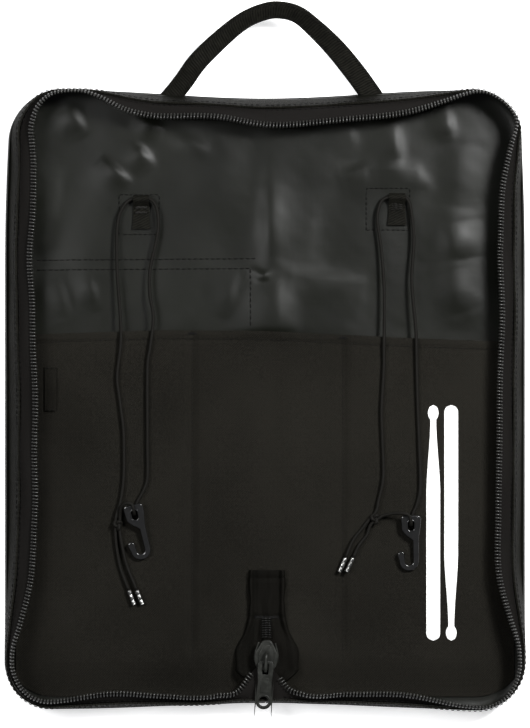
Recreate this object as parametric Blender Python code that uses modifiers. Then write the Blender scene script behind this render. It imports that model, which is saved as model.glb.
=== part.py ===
"""Drum stick bag, lying open: a nylon sheet with a webbing wall and a zip all round it.

The bag folds like a book along two lines, so it is three rigid areas: left half, spine and right half.
The origin is the middle of the footprint, on the surface the bag lies on. +X is to the right, +Y to the
handle, +Z up. Sizes are in metres.
"""
import math

import bmesh
import bpy
from mathutils import Vector

# the sheet and its edge, measured from the middle of the sheet
HALF_WIDTH = 0.1975
HALF_LENGTH = 0.235
CORNER_RADIUS = 0.038
HANDLE_RISE = 0.065
SHEET_Y = -HANDLE_RISE / 2
SHELL_THICKNESS = 0.0015
SHELL_BOTTOM = 0.0045
SHELL_TOP = SHELL_BOTTOM + SHELL_THICKNESS
FOLD_X = 0.031
FOLD_GAP = 0.001
SOFT_X = 0.059
TOUCH_GAP = 0.0003

# the webbing wall and the zip round the edge
WALL_WEBBING = 0.025
WALL_THICKNESS = 0.0016
TAPE_THICKNESS = 0.0008
CHAIN_RADIUS = 0.0021
TEETH_CLEARANCE = 0.0013
WALL_STEP = 0.012
NEAR_STEP = 0.006
# (distance along the edge from the middle of the near end, seam inset, teeth inset, teeth height), mm
WALL_STATIONS = [
    (10, 5, 24, 22), (18, 5, 13, 24), (36, 4, 9.5, 28), (75, 5, 11, 28), (117, 6, 14, 28),
    (156, 5, 10, 29), (181, 4, 9, 30), (203, 4, 9, 30), (229, 4, 8.5, 30), (251, 6, 14.5, 29),
    (281, 10, 22, 27), (331, 12, 24.5, 26), (383, 12.5, 25, 26), (453, 12, 24, 26), (491, 11, 22.8, 26.5),
    (520, 10, 20.5, 27), (561, 11, 23, 26), (603, 11, 22, 27), (642, 6, 14, 29), (656, 3.5, 9, 30),
    (675, 2, 4.5, 31), (695, 2.5, 5, 31), (709, 4, 9.5, 30), (722, 6, 15, 29), (740, 8, 18.5, 28),
    (803, 8, 18, 28), (829, 9, 22, 27), (885, 9, 21, 27), (944, 7, 16, 28), (963, 5, 11, 30),
    (985, 2.5, 5, 31), (1012, 2, 4, 31.5), (1031, 2, 4.5, 31), (1045, 4, 9, 30), (1061, 6, 13.5, 29),
    (1081, 9, 18.5, 27.5), (1123, 10, 20.5, 27), (1193, 10, 20, 27), (1245, 10.5, 21.3, 27),
    (1327, 11, 22.4, 26.5), (1379, 10, 20.6, 27), (1403, 7, 15, 29), (1429, 3.5, 7.7, 30.5),
    (1450, 3, 6.5, 31), (1485, 3, 5.5, 31), (1510, 3, 6.5, 31), (1561, 6, 13.8, 29), (1596, 5.5, 12, 28.5),
    (1630, 4.5, 10, 28), (1642, 5, 14, 24), (1650, 5, 24, 22),
]

# the stick pocket inside, a panel that stands a little off the sheet
POCKET_TOP = 0.050
POCKET_BOTTOM = -0.208
POCKET_SIDE = 0.168
POCKET_RISE = 0.0054
POCKET_RAMP = 0.018
POCKET_THICKNESS = 0.0012
POCKET_FOLD_GAP = 0.0028

# the outside pocket under the left half
OUTER_LEFT = -0.166
OUTER_RIGHT = -0.036
OUTER_ZIP_Y = 0.1032
OUTER_BOTTOM = -0.195
OUTER_SLIDER_X = -0.150

# cords
CORD_DIAMETER = 0.0025
CORD_STEP = 0.0080
CORD_BEND_STEP = 0.0022
CORD_BEND_LENGTH = 0.046
LEFT_CORD = [
    (-0.1126, -0.0888, 0.0158), (-0.1090, -0.0760, 0.0150), (-0.1068, -0.0580, 0.0147), (-0.1066, -0.0320, 0.0147),
    (-0.1074, -0.0180, 0.0147), (-0.1100, 0.0020, 0.0147), (-0.1117, 0.0180, 0.0147), (-0.1090, 0.0420, 0.0152),
    (-0.1092, 0.0620, 0.0142), (-0.1118, 0.0990, 0.0125), (-0.1118, 0.1310, 0.0110), (-0.1085, 0.1440, 0.0104),
    (-0.1030, 0.1510, 0.0100), (-0.0980, 0.1520, 0.0099), (-0.0900, 0.1520, 0.0099), (-0.0855, 0.1510, 0.0100),
    (-0.0815, 0.1430, 0.0105), (-0.0812, 0.1260, 0.0112), (-0.0868, 0.0990, 0.0125), (-0.0870, 0.0800, 0.0136),
    (-0.0843, 0.0620, 0.0145), (-0.0868, 0.0390, 0.0152), (-0.0888, 0.0230, 0.0147), (-0.0888, -0.0320, 0.0147),
    (-0.0888, -0.0580, 0.0147), (-0.0915, -0.0680, 0.0146), (-0.0965, -0.0770, 0.0144), (-0.0984, -0.0832, 0.0146),
    (-0.0985, -0.0864, 0.0178), (-0.0988, -0.0832, 0.0211), (-0.1000, -0.0785, 0.0216), (-0.1040, -0.0775, 0.0214),
    (-0.1080, -0.0800, 0.0195), (-0.1094, -0.0850, 0.0172), (-0.1095, -0.0888, 0.0160),
]
LEFT_TAILS = [
    [(-0.1130, -0.0998, 0.0150), (-0.1122, -0.1110, 0.0146), (-0.1092, -0.1270, 0.0146), (-0.1030, -0.1432, 0.0152)],
    [(-0.1096, -0.0998, 0.0150), (-0.1078, -0.1110, 0.0146), (-0.1044, -0.1250, 0.0146), (-0.0970, -0.1432, 0.0152)],
]
RIGHT_CORD = [
    (0.0838, -0.0843, 0.0152), (0.0858, -0.0760, 0.0147), (0.0893, -0.0580, 0.0147), (0.0886, -0.0300, 0.0147),
    (0.0880, -0.0080, 0.0147), (0.0896, 0.0230, 0.0147), (0.0898, 0.0420, 0.0152), (0.0903, 0.0640, 0.0142),
    (0.0898, 0.0900, 0.0130), (0.0878, 0.1150, 0.0118), (0.0850, 0.1370, 0.0108), (0.0880, 0.1500, 0.0101),
    (0.0940, 0.1535, 0.0099), (0.1000, 0.1535, 0.0099), (0.1055, 0.1535, 0.0099), (0.1092, 0.1495, 0.0102),
    (0.1112, 0.1390, 0.0107), (0.1126, 0.1210, 0.0115), (0.1110, 0.0930, 0.0128), (0.1120, 0.0740, 0.0138),
    (0.1140, 0.0520, 0.0152), (0.1146, 0.0230, 0.0147), (0.1152, -0.0020, 0.0147), (0.1163, -0.0320, 0.0147),
    (0.1172, -0.0640, 0.0147), (0.1150, -0.0780, 0.0146), (0.1112, -0.0870, 0.0144), (0.1101, -0.0912, 0.0146),
    (0.1100, -0.0944, 0.0178), (0.1098, -0.0912, 0.0211), (0.1085, -0.0868, 0.0216), (0.1035, -0.0852, 0.0214),
    (0.0970, -0.0855, 0.0190), (0.0910, -0.0868, 0.0165), (0.0878, -0.0880, 0.0157),
]
RIGHT_TAILS = [
    [(0.0786, -0.0905, 0.0150), (0.0735, -0.0970, 0.0146), (0.0665, -0.1060, 0.0146), (0.0610, -0.1187, 0.0152)],
    [(0.0800, -0.0940, 0.0150), (0.0770, -0.1020, 0.0146), (0.0712, -0.1095, 0.0146), (0.0668, -0.1187, 0.0152)],
]
KNOT_SIZE = (0.0072, 0.0085, 0.0052)
LEFT_KNOT = (-0.1112, -0.0942, 0.0158)
RIGHT_KNOT = (0.0830, -0.0895, 0.0158)
CRIMP_RADIUS = 0.0018
CRIMP_LENGTH = 0.0115
LOOP_WIDTH = 0.0100
LOOP_EYE_Z = 0.0099
LOOPS = {"left": (-0.0938, 0.1520, 0.1302), "right": (0.1000, 0.1535, 0.1330)}

# hooks, each lying with its far end down on the pocket
HOOK_THICKNESS = 0.0030
HOOK_LENGTH = 0.0360
HOOK_LEAN = 5.0
HOOKS = {
    "left": {"eye": (-0.0985, -0.0850, 0.0178), "turn": 12.0},
    "right": {"eye": (0.1100, -0.0930, 0.0178), "turn": 0.0},
}

# the main slider and its pull, in the zip garage at the near end of the spine
SLIDER_CENTRE = (0.0010, -0.1920, 0.0212)
SLIDER_TURN = -3.5
PULL_BACK = 0.0050
PULL_LIFT = 0.0063
PULL_LENGTH = 0.0350
PULL_WIDTH = 0.0115

collection = bpy.data.collections.new("drum_stick_bag")
cutters = bpy.data.collections.new("cutters")


def clear_scene():
    for item in list(bpy.data.objects):
        bpy.data.objects.remove(item, do_unlink=True)
    bpy.context.scene.collection.children.link(collection)
    bpy.context.scene.collection.children.link(cutters)


def material(name, colour, roughness, metallic=0.0):
    made = bpy.data.materials.new(name)
    made.use_nodes = True
    shader = made.node_tree.nodes["Principled BSDF"]
    shader.inputs["Base Color"].default_value = (*colour, 1.0)
    shader.inputs["Roughness"].default_value = roughness
    shader.inputs["Metallic"].default_value = metallic
    return made


def finish(item, frame, look):
    """Files an object in the bag's collection, hangs it on the sheet's frame and gives it its own material."""
    for owner in list(item.users_collection):
        owner.objects.unlink(item)
    collection.objects.link(item)
    item.parent = frame
    colour, roughness, metallic = look
    item.data.materials.clear()
    item.data.materials.append(material(item.name, colour, roughness, metallic))
    return item


NYLON = ((0.018, 0.016, 0.014), 0.75, 0.0)
COATING = ((0.035, 0.036, 0.030), 0.32, 0.0)
WEBBING = ((0.012, 0.011, 0.008), 0.6, 0.0)
TEETH = ((0.02, 0.02, 0.018), 0.35, 0.0)
CAST_METAL = ((0.035, 0.037, 0.030), 0.4, 0.6)
GLOSS_PLASTIC = ((0.01, 0.01, 0.01), 0.12, 0.0)
BRIGHT_METAL = ((0.6, 0.6, 0.6), 0.25, 1.0)


def edge_point(x, y):
    """Pulls the plain rounded rectangle into the sheet's real edge: the ends dip in the middle, the far end narrows."""
    end = math.cos(math.pi * x / 0.3) ** 2 if abs(x) < 0.15 else 0.0
    if y > HALF_LENGTH - CORNER_RADIUS:
        y_out = y - 0.0060 * end
    elif y < CORNER_RADIUS - HALF_LENGTH:
        y_out = y + 0.0046 * end
    else:
        y_out = y
    x_out = x * (1 - 0.025 * (max(0.0, y - 0.1) / 0.135) ** 2)
    return Vector((x_out, y_out, 0.0))


def plain_edge():
    """The rounded rectangle from the middle of the near end, clockwise from above, as closely spaced points."""
    side_x = HALF_WIDTH - CORNER_RADIUS
    side_y = HALF_LENGTH - CORNER_RADIUS
    points = [(0.0, -HALF_LENGTH)]
    for cx, cy, start in ((-side_x, -side_y, 270), (-side_x, side_y, 180), (side_x, side_y, 90), (side_x, -side_y, 0)):
        for turn in range(0, 91, 3):
            angle = math.radians(start - turn)
            points.append((cx + CORNER_RADIUS * math.cos(angle), cy + CORNER_RADIUS * math.sin(angle)))
    points.append((0.0, -HALF_LENGTH))
    dense = []
    for a, b in zip(points, points[1:]):
        steps = max(1, round(math.dist(a, b) / 0.002))
        dense += [(a[0] + (b[0] - a[0]) * i / steps, a[1] + (b[1] - a[1]) * i / steps) for i in range(steps)]
    return dense + [points[-1]]


EDGE = [edge_point(x, y) for x, y in plain_edge()]
EDGE_AT = [0.0]
for before, after in zip(EDGE, EDGE[1:]):
    EDGE_AT.append(EDGE_AT[-1] + (after - before).length)


def edge_at(distance):
    """The point on the sheet's edge and the direction inwards, at a distance along the edge."""
    low = max(i for i in range(len(EDGE_AT) - 1) if EDGE_AT[i] <= distance)
    part = (distance - EDGE_AT[low]) / (EDGE_AT[low + 1] - EDGE_AT[low])
    point = EDGE[low].lerp(EDGE[low + 1], part)
    along = (EDGE[min(low + 4, len(EDGE) - 1)] - EDGE[max(low - 4, 0)]).normalized()
    return point, Vector((along.y, -along.x, 0.0))


def eased(distance):
    """Seam inset, teeth inset and teeth height at a distance along the edge, in metres."""
    mm = distance * 1000
    low = max([i for i in range(len(WALL_STATIONS) - 1) if WALL_STATIONS[i][0] <= mm] or [0])
    a, b = WALL_STATIONS[low], WALL_STATIONS[low + 1]
    part = min(max((mm - a[0]) / (b[0] - a[0]), 0.0), 1.0)
    part = part * part * (3 - 2 * part)
    return [(a[i] + (b[i] - a[i]) * part) / 1000 for i in (1, 2, 3)]


def wall_section(distance):
    """Foot, seam and teeth of the wall at a distance along the edge."""
    point, inwards = edge_at(distance)
    seam_in, teeth_in, teeth_up = eased(distance)
    foot = point + inwards * WALL_THICKNESS / 2 + Vector((0, 0, WALL_THICKNESS / 2))
    seam = point + inwards * seam_in + Vector((0, 0, math.sqrt(WALL_WEBBING ** 2 - seam_in ** 2)))
    teeth = point + inwards * teeth_in + Vector((0, 0, teeth_up))
    return foot, seam, teeth, inwards


def sheet(name, rows, thickness, offset, frame, look):
    """An open surface through rows of points, thickened into a closed solid."""
    mesh = bpy.data.meshes.new(name)
    shape = bmesh.new()
    grid = [[shape.verts.new(p) for p in row] for row in rows]
    for upper, lower in zip(grid, grid[1:]):
        for i in range(len(upper) - 1):
            shape.faces.new((upper[i], upper[i + 1], lower[i + 1], lower[i]))
    bmesh.ops.recalc_face_normals(shape, faces=shape.faces)
    shape.to_mesh(mesh)
    shape.free()
    item = bpy.data.objects.new(name, mesh)
    thicken = item.modifiers.new("thickness", "SOLIDIFY")
    thicken.thickness = thickness
    thicken.offset = offset
    thicken.use_even_offset = True
    return finish(item, frame, look)


def smooth_route(points, step, fine_step=None, fine_length=0.0):
    """Points on a smooth curve through the given ones, closer together along a length at its end."""
    route = [Vector(p) for p in points]
    ends = [route[0] * 2 - route[1]] + route + [route[-1] * 2 - route[-2]]
    dense = []
    for a, b, c, d in zip(ends, ends[1:], ends[2:], ends[3:]):
        for i in range(24):
            t = i / 24
            dense.append(
                0.5 * ((2 * b) + (c - a) * t + (2 * a - 5 * b + 4 * c - d) * t ** 2 + (3 * b - a - 3 * c + d) * t ** 3)
            )
    dense.append(route[-1])
    lengths = [0.0]
    for a, b in zip(dense, dense[1:]):
        lengths.append(lengths[-1] + (b - a).length)
    coarse_length = lengths[-1] - fine_length
    coarse = max(1, math.ceil(coarse_length / step))
    wanted = [coarse_length * i / coarse for i in range(coarse + 1)]
    if fine_length:
        fine = math.ceil(fine_length / fine_step)
        wanted += [coarse_length + fine_length * i / fine for i in range(1, fine + 1)]
    spaced, low = [], 0
    for distance in wanted:
        while low < len(lengths) - 2 and lengths[low + 1] < distance:
            low += 1
        spaced.append(dense[low].lerp(dense[low + 1], (distance - lengths[low]) / (lengths[low + 1] - lengths[low])))
    return spaced


def tube(name, points, radius, frame, look):
    """A round tube along a line of points, with filled ends."""
    curve = bpy.data.curves.new(name, "CURVE")
    curve.dimensions = "3D"
    curve.bevel_depth = radius
    curve.bevel_resolution = 2
    curve.use_fill_caps = True
    line = curve.splines.new("POLY")
    line.points.add(len(points) - 1)
    for slot, point in zip(line.points, points):
        slot.co = (*point, 1.0)
    return finish(bpy.data.objects.new(name, curve), frame, look)


def plate(name, outlines, thickness):
    """A flat outline, with any holes, as a solid plate centred on z = 0."""
    curve = bpy.data.curves.new(name, "CURVE")
    curve.dimensions = "2D"
    curve.fill_mode = "BOTH"
    curve.extrude = thickness / 2
    for outline in outlines:
        line = curve.splines.new("POLY")
        line.points.add(len(outline) - 1)
        line.use_cyclic_u = True
        for slot, (x, y) in zip(line.points, outline):
            slot.co = (x, y, 0.0, 1.0)
    flat = bpy.data.objects.new(name, curve)
    collection.objects.link(flat)
    bpy.context.view_layer.update()
    mesh = bpy.data.meshes.new_from_object(flat.evaluated_get(bpy.context.evaluated_depsgraph_get()))
    bpy.data.objects.remove(flat, do_unlink=True)
    shape = bmesh.new()
    shape.from_mesh(mesh)
    bmesh.ops.remove_doubles(shape, verts=shape.verts, dist=0.00001)
    bmesh.ops.recalc_face_normals(shape, faces=shape.faces)
    shape.to_mesh(mesh)
    shape.free()
    mesh.name = name
    item = bpy.data.objects.new(name, mesh)
    collection.objects.link(item)
    return item


def block(name, size, centre):
    bpy.ops.mesh.primitive_cube_add(size=1)
    item = bpy.context.object
    item.name = name
    item.data.name = name
    for corner in item.data.vertices:
        corner.co = [corner.co[i] * size[i] + centre[i] for i in range(3)]
    return item


def combine(item, other, operation):
    """Adds a shape to an object or cuts it away, and files the shape with the cutters."""
    for owner in list(other.users_collection):
        owner.objects.unlink(other)
    cutters.objects.link(other)
    other.hide_render = True
    other.display_type = "WIRE"
    other.parent = item
    change = item.modifiers.new(other.name, "BOOLEAN")
    change.operation = operation
    change.object = other
    change.solver = "EXACT"


def arc(cx, cy, radius, start, end, steps):
    turns = [math.radians(start + (end - start) * i / steps) for i in range(steps + 1)]
    return [(cx + radius * math.cos(a), cy + radius * math.sin(a)) for a in turns]


# ---------------------------------------------------------------- sheet and wall


def wall_distances(low, high, step=WALL_STEP):
    count = max(2, round((high - low) / step))
    return [low + (high - low) * i / count for i in range(count + 1)]


def edge_crossings(x):
    """Distances along the edge where it crosses a value of x: at the near end, then at the far end."""
    found = []
    for i in range(len(EDGE) - 1):
        a, b = EDGE[i].x, EDGE[i + 1].x
        if (a - x) * (b - x) <= 0 and a != b:
            found.append(EDGE_AT[i] + (x - a) / (b - a) * (EDGE_AT[i + 1] - EDGE_AT[i]))
    near = [d for d in found if edge_at(d)[0].y < 0]
    far = [d for d in found if edge_at(d)[0].y > 0]
    return near[0], far[0]


def make_shell(name, low_x, high_x, frame):
    """A flat area of the sheet between two values of x, cut to the inside of the wall."""
    outline = []
    for distance in wall_distances(0.0, EDGE_AT[-1] - 0.0001):
        point, inwards = edge_at(distance)
        seam_in = eased(distance)[0]
        lean = seam_in * SHELL_TOP / WALL_WEBBING
        outline.append(point + inwards * (lean + WALL_THICKNESS + 2 * TOUCH_GAP))
    clipped = clip(clip([(p.x, p.y) for p in outline], low_x, 1), high_x, -1)
    item = plate(name, [clipped], SHELL_THICKNESS)
    item.location.z = SHELL_BOTTOM + SHELL_THICKNESS / 2
    return finish(item, frame, COATING)


def clip(outline, x, side):
    """The part of a closed outline on one side of a line of constant x: +1 keeps what is right of it."""
    kept = []
    for (ax, ay), (bx, by) in zip(outline, outline[1:] + outline[:1]):
        a_in, b_in = (ax - x) * side >= 0, (bx - x) * side >= 0
        if a_in:
            kept.append((ax, ay))
        if a_in != b_in:
            part = (x - ax) / (bx - ax)
            kept.append((x, ay + (by - ay) * part))
    return kept


def make_wall(prefix, low, high, frame, parts=("gusset", "zip_tape", "zip_chain"), step=WALL_STEP):
    """A stretch of the wall: webbing, zip tape and the row of teeth."""
    inset = 0.0005
    sections = [wall_section(d) for d in wall_distances(low + inset, high - inset, step)]
    if "gusset" in parts:
        sheet(f"{prefix}_gusset", [[s[0] for s in sections], [s[1] for s in sections]],
              WALL_THICKNESS, 0.0, frame, WEBBING)
    if "zip_tape" in parts:
        starts, stops = [], []
        for _, seam, teeth, _ in sections:
            across = (teeth - seam).normalized()
            starts.append(seam + across * 0.0014)
            stops.append(teeth - across * (CHAIN_RADIUS + TEETH_CLEARANCE))
        sheet(f"{prefix}_zip_tape", [starts, stops], TAPE_THICKNESS, 0.0, frame, WEBBING)
    if "zip_chain" in parts:
        tube(f"{prefix}_zip_chain", [s[2] for s in sections], CHAIN_RADIUS, frame, TEETH)


def make_sheet_and_wall(frame):
    make_shell("left_shell", -1.0, -FOLD_X - FOLD_GAP, frame)
    make_shell("spine_shell", FOLD_GAP - FOLD_X, FOLD_X - FOLD_GAP, frame)
    make_shell("right_shell", FOLD_X + FOLD_GAP, 1.0, frame)
    near_left, far_left = edge_crossings(-SOFT_X)
    near_right, far_right = edge_crossings(SOFT_X)
    make_wall("left", near_left, far_left, frame)
    make_wall("right", far_right, near_right, frame)
    make_wall("spine_far", far_left, far_right, frame)
    # the teeth run on under the slider's flap, past the ends of the tape
    near_end = EDGE_AT[-1]
    make_wall("spine_near_left", 0.010, near_left, frame, ("zip_chain",), NEAR_STEP)
    make_wall("spine_near_left", 0.024, near_left, frame, ("zip_tape",), NEAR_STEP)
    make_wall("spine_near_right", near_right, near_end - 0.009, frame, ("zip_chain",), NEAR_STEP)
    make_wall("spine_near_right", near_right, near_end - 0.023, frame, ("zip_tape",), NEAR_STEP)
    # the two ends of the webbing meet at the middle of the near end
    make_near_webbing("spine_near_left_gusset", 0.0, near_left, frame)
    make_near_webbing("spine_near_right_gusset", near_right, EDGE_AT[-1] - 0.0005, frame)


def make_near_webbing(name, low, high, frame):
    """Webbing beside the slider, its lower edge just clear of the surface so that it can crumple."""
    rows = [[], []]
    for distance in wall_distances(low + 0.0005, high - 0.0005, NEAR_STEP):
        foot, seam, _, _ = wall_section(distance)
        rows[0].append(foot + Vector((0, 0, 0.0004)))
        rows[1].append(seam)
    sheet(name, rows, WALL_THICKNESS, 0.0, frame, WEBBING)


# ---------------------------------------------------------------- pockets


def pocket_height(x, y, low_x, high_x):
    """How far the pocket panel stands off the sheet."""
    inside = min(x - low_x, high_x - x, y - POCKET_BOTTOM)
    part = min(max(inside / POCKET_RAMP, 0.0), 1.0)
    return POCKET_RISE * part * part * (3 - 2 * part)


def pocket_top_edge(x):
    """The mouth dips a little at the middle of the bag."""
    return POCKET_TOP + 0.003 * abs(x) / POCKET_SIDE


def make_pocket(name, low_x, high_x, frame):
    ramp_steps = [0.0, 0.25, 0.5, 0.75, 1.0]
    columns = [low_x + POCKET_RAMP * s for s in ramp_steps] + [high_x - POCKET_RAMP * s for s in ramp_steps[::-1]]
    rows_y = [POCKET_BOTTOM + POCKET_RAMP * s for s in ramp_steps] + [-0.12, -0.05, 0.0]
    base = SHELL_TOP + TOUCH_GAP
    rows = []
    for y in rows_y:
        rows.append([Vector((x, y, base + pocket_height(x, y, low_x, high_x))) for x in columns])
    rows.append([Vector((x, pocket_top_edge(x), base + pocket_height(x, 0.0, low_x, high_x))) for x in columns])
    rows.reverse()
    item = sheet(name, rows, POCKET_THICKNESS, 1.0, frame, NYLON)
    upward = sum(f.normal.z for f in item.data.polygons)
    if upward < 0:
        item.data.flip_normals()
    return item


def make_side_label(frame):
    """A small folded label sewn in at the pocket's left edge."""
    low_x, high_x = -0.1660, -0.1580
    rows = []
    for y in (0.024, 0.008, -0.0075):
        row = []
        for x in (low_x, (low_x + high_x) / 2, high_x):
            up = pocket_height(x, 0.0, -POCKET_SIDE, -FOLD_X) + SHELL_TOP + POCKET_THICKNESS + 0.0012
            row.append(Vector((x, y, up)))
        rows.append(row)
    sheet("side_label", rows, 0.0006, 0.0, frame, NYLON)


def make_outer_pocket(frame):
    """The pocket on the outside of the left half: its panel, its zip, the slider and the pull."""
    panel_z = SHELL_BOTTOM - 0.0009
    width = OUTER_RIGHT - OUTER_LEFT
    middle = (OUTER_LEFT + OUTER_RIGHT) / 2
    length = OUTER_ZIP_Y - 0.012 - OUTER_BOTTOM
    panel = block("outer_pocket_panel", (width, length, 0.0012), (middle, OUTER_BOTTOM + length / 2, panel_z))
    finish(panel, frame, NYLON)
    tape = block("outer_zip_tape", (width, 0.022, 0.0008), (middle, OUTER_ZIP_Y, panel_z))
    finish(tape, frame, WEBBING)
    outline = shield(0.0062, 0.0110)
    slider = plate("outer_slider", [outline], 0.0012)
    slider.rotation_euler.z = math.radians(-90)
    slider.location = (OUTER_SLIDER_X, OUTER_ZIP_Y, 0.0024)
    finish(slider, frame, CAST_METAL)
    pull = plate("outer_pull", [pull_outline(0.0075, 0.024)], 0.0008)
    pull.rotation_euler.z = math.radians(90)
    pull.location = (OUTER_SLIDER_X + 0.003, OUTER_ZIP_Y, 0.0010)
    finish(pull, frame, CAST_METAL)


# ---------------------------------------------------------------- zip slider


def shield(half_width, half_length):
    """A slider's plan: wide and round at the teeth's ends, narrower at the closed side."""
    narrow = half_width * 0.62
    return (
        [(-half_width, -half_length * 0.4), (-half_width * 0.9, -half_length * 0.85), (-half_width * 0.5, -half_length)]
        + [(half_width * 0.5, -half_length), (half_width * 0.9, -half_length * 0.85), (half_width, -half_length * 0.4)]
        + [(half_width * 0.95, half_length * 0.1), (narrow, half_length * 0.75), (narrow * 0.7, half_length)]
        + [(-narrow * 0.7, half_length), (-narrow, half_length * 0.75), (-half_width * 0.95, half_length * 0.1)]
    )


def pull_outline(width, length):
    """A pull that hangs from the origin along -Y: a square bar at the top, a round end."""
    half = width / 2
    return [(-half * 0.8, 0.0012), (-half, -0.004)] + [
        (x, y) for x, y in arc(0, half - length, half, 180, 360, 12)
    ] + [(half, -0.004), (half * 0.8, 0.0012)]


def make_main_slider(frame):
    """The slider with the bridge that carries the pull, and the pull."""
    base = bpy.data.objects.new("slider_frame", None)
    collection.objects.link(base)
    base.parent = frame
    base.location = SLIDER_CENTRE
    base.rotation_euler.z = math.radians(SLIDER_TURN)
    slider = plate("main_slider", [shield(0.0088, 0.0112)], 0.0062)
    for side in (-1, 1):
        groove = block("groove", (0.0090, 0.0300, 0.0022), (side * 0.0070, 0.0, 0.0))
        combine(slider, groove, "DIFFERENCE")
    bridge = block("bridge", (0.0026, 0.0125, 0.0068), (0.0, -PULL_BACK + 0.0002, 0.0062))
    combine(slider, bridge, "UNION")
    window = block("window", (0.0060, 0.0085, 0.0036), (0.0, -PULL_BACK + 0.0002, PULL_LIFT - 0.0009))
    combine(slider, window, "DIFFERENCE")
    finish(slider, base, CAST_METAL)
    eye = [(-0.0022, -0.0008), (-0.0022, -0.0088), (0.0022, -0.0088), (0.0022, -0.0008)]
    hole = arc(0.0, 0.0058 - PULL_LENGTH, 0.0032, 0, 345, 16)
    pull = plate("main_pull", [pull_outline(PULL_WIDTH, PULL_LENGTH), eye, hole], 0.0014)
    pull.location = (0.0, -PULL_BACK, PULL_LIFT - 0.0008)
    finish(pull, base, CAST_METAL)


def make_garage(frame):
    """The nylon flap that holds the closed end of the zip, and the stub of closed teeth on it."""
    rows = []
    for y, half, z in ((-0.1290, 0.0132, 0.0148), (-0.1500, 0.0134, 0.0150), (-0.1680, 0.0137, 0.0150),
                       (-0.1780, 0.0170, 0.0152), (-0.1920, 0.0225, 0.0160), (-0.2080, 0.0240, 0.0170)):
        rows.append([Vector((0.0015 + half * s, y, z)) for s in (-1, -0.5, 0, 0.5, 1)])
    sheet("zip_garage", rows, 0.0012, 0.0, frame, NYLON)
    stub = block("closed_teeth", (0.0062, 0.0130, 0.0014), (0.0010, -0.1705, 0.0168))
    finish(stub, frame, TEETH)


# ---------------------------------------------------------------- cords and hooks


def make_loop(side, frame):
    """A short webbing strap sewn to the sheet, folded into an eye that the cord runs through along X."""
    x, eye_y, tail_y = LOOPS[side]
    base_z = SHELL_TOP + TOUCH_GAP
    eye_out, eye_in = 0.0034, 0.0021
    height = LOOP_EYE_Z - base_z
    outer = [(tail_y - eye_y, 0.0026 - height), (tail_y - eye_y, -height)] + [(0.0, -height)]
    outer += arc(0.0, 0.0, eye_out, -60, 130, 10) + [(-0.0055, 0.0026 - height)]
    inner = arc(0.0, 0.0, eye_in, 0, 330, 11)
    strap = plate(f"{side}_cord_loop", [outer, inner], LOOP_WIDTH)
    strap.rotation_euler = (math.radians(90), 0, math.radians(90))
    strap.location = (x, eye_y, LOOP_EYE_Z)
    finish(strap, frame, WEBBING)


def hook_outline(length):
    """A hook that hangs from its eye along -Y, with a wide head, a J-shaped end and a ball at the tip."""
    outer_radius, inner_radius, ball_radius = 0.0074, 0.0032, 0.00265
    bend_x, bend_y = -0.0012, outer_radius - length
    outer = [(-0.0075, 0.0040), (-0.0056, 0.0062), (0.0056, 0.0062), (0.0075, 0.0040), (0.0072, -0.0020)]
    outer += [(0.0054, -0.0120)]
    outer += arc(bend_x, bend_y, outer_radius, 0, -180, 14)
    outer += arc(bend_x - 0.0062, bend_y + 0.0046, ball_radius, 190, -20, 8)
    outer += arc(bend_x, bend_y, inner_radius, -180, 0, 12)
    outer += [(0.0012, -0.0130), (-0.0030, -0.0095), (-0.0068, -0.0050)]
    slot = arc(0.0, 0.0, 0.0024, 0, 180, 8) + arc(0.0, -0.0030, 0.0024, 180, 360, 8)
    return outer, slot


def make_hook(side, frame):
    outer, slot = hook_outline(HOOK_LENGTH)
    item = plate(f"{side}_hook", [outer, slot], HOOK_THICKNESS)
    item.rotation_euler = (math.radians(HOOK_LEAN), 0, math.radians(HOOKS[side]["turn"]))
    item.location = HOOKS[side]["eye"]
    finish(item, frame, GLOSS_PLASTIC)


def make_knot(side, centre, frame):
    bpy.ops.mesh.primitive_uv_sphere_add(segments=12, ring_count=8, radius=1.0)
    item = bpy.context.object
    item.name = f"{side}_knot"
    for point in item.data.vertices:
        point.co = [point.co[i] * KNOT_SIZE[i] / 2 for i in range(3)]
    item.location = centre
    finish(item, frame, WEBBING)


def make_tail(side, number, route, frame):
    """A short free end below the knot, with the crimped metal tip on it."""
    points = smooth_route(route, 0.006)
    radius = CORD_DIAMETER / 2
    tube(f"{side}_tail_{number}", points, radius, frame, WEBBING)
    heading = (points[-1] - points[-2]).normalized()
    heading.z = 0.0
    start = points[-1] + heading * (2 * TOUCH_GAP)
    stop = start + heading * CRIMP_LENGTH
    tube(f"{side}_crimp_{number}", [start, start.lerp(stop, 0.5), stop], CRIMP_RADIUS, frame, BRIGHT_METAL)


def make_cord_set(side, route, tails, knot, frame):
    make_loop(side, frame)
    points = smooth_route(route, CORD_STEP, CORD_BEND_STEP, CORD_BEND_LENGTH)
    tube(f"{side}_cord", points, CORD_DIAMETER / 2, frame, WEBBING)
    make_knot(side, knot, frame)
    for number, tail in enumerate(tails, start=1):
        make_tail(side, number, tail, frame)
    make_hook(side, frame)


# ---------------------------------------------------------------- handle

HANDLE_LEFT = [(-0.0700, 0.2370, 0.0120), (-0.0520, 0.2560, 0.0180), (-0.0310, 0.2740, 0.0225), (-0.0205, 0.2822, 0.0238)]
HANDLE_TOP = [
    (-0.0190, 0.2832, 0.0240), (-0.0090, 0.2890, 0.0245), (0.0080, 0.2930, 0.0245), (0.0180, 0.2915, 0.0241),
    (0.0265, 0.2880, 0.0235),
]
HANDLE_RIGHT = [(0.0280, 0.2870, 0.0233), (0.0440, 0.2740, 0.0200), (0.0640, 0.2540, 0.0155), (0.0780, 0.2370, 0.0115)]
HANDLE_THICKNESS = 0.0034


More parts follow.
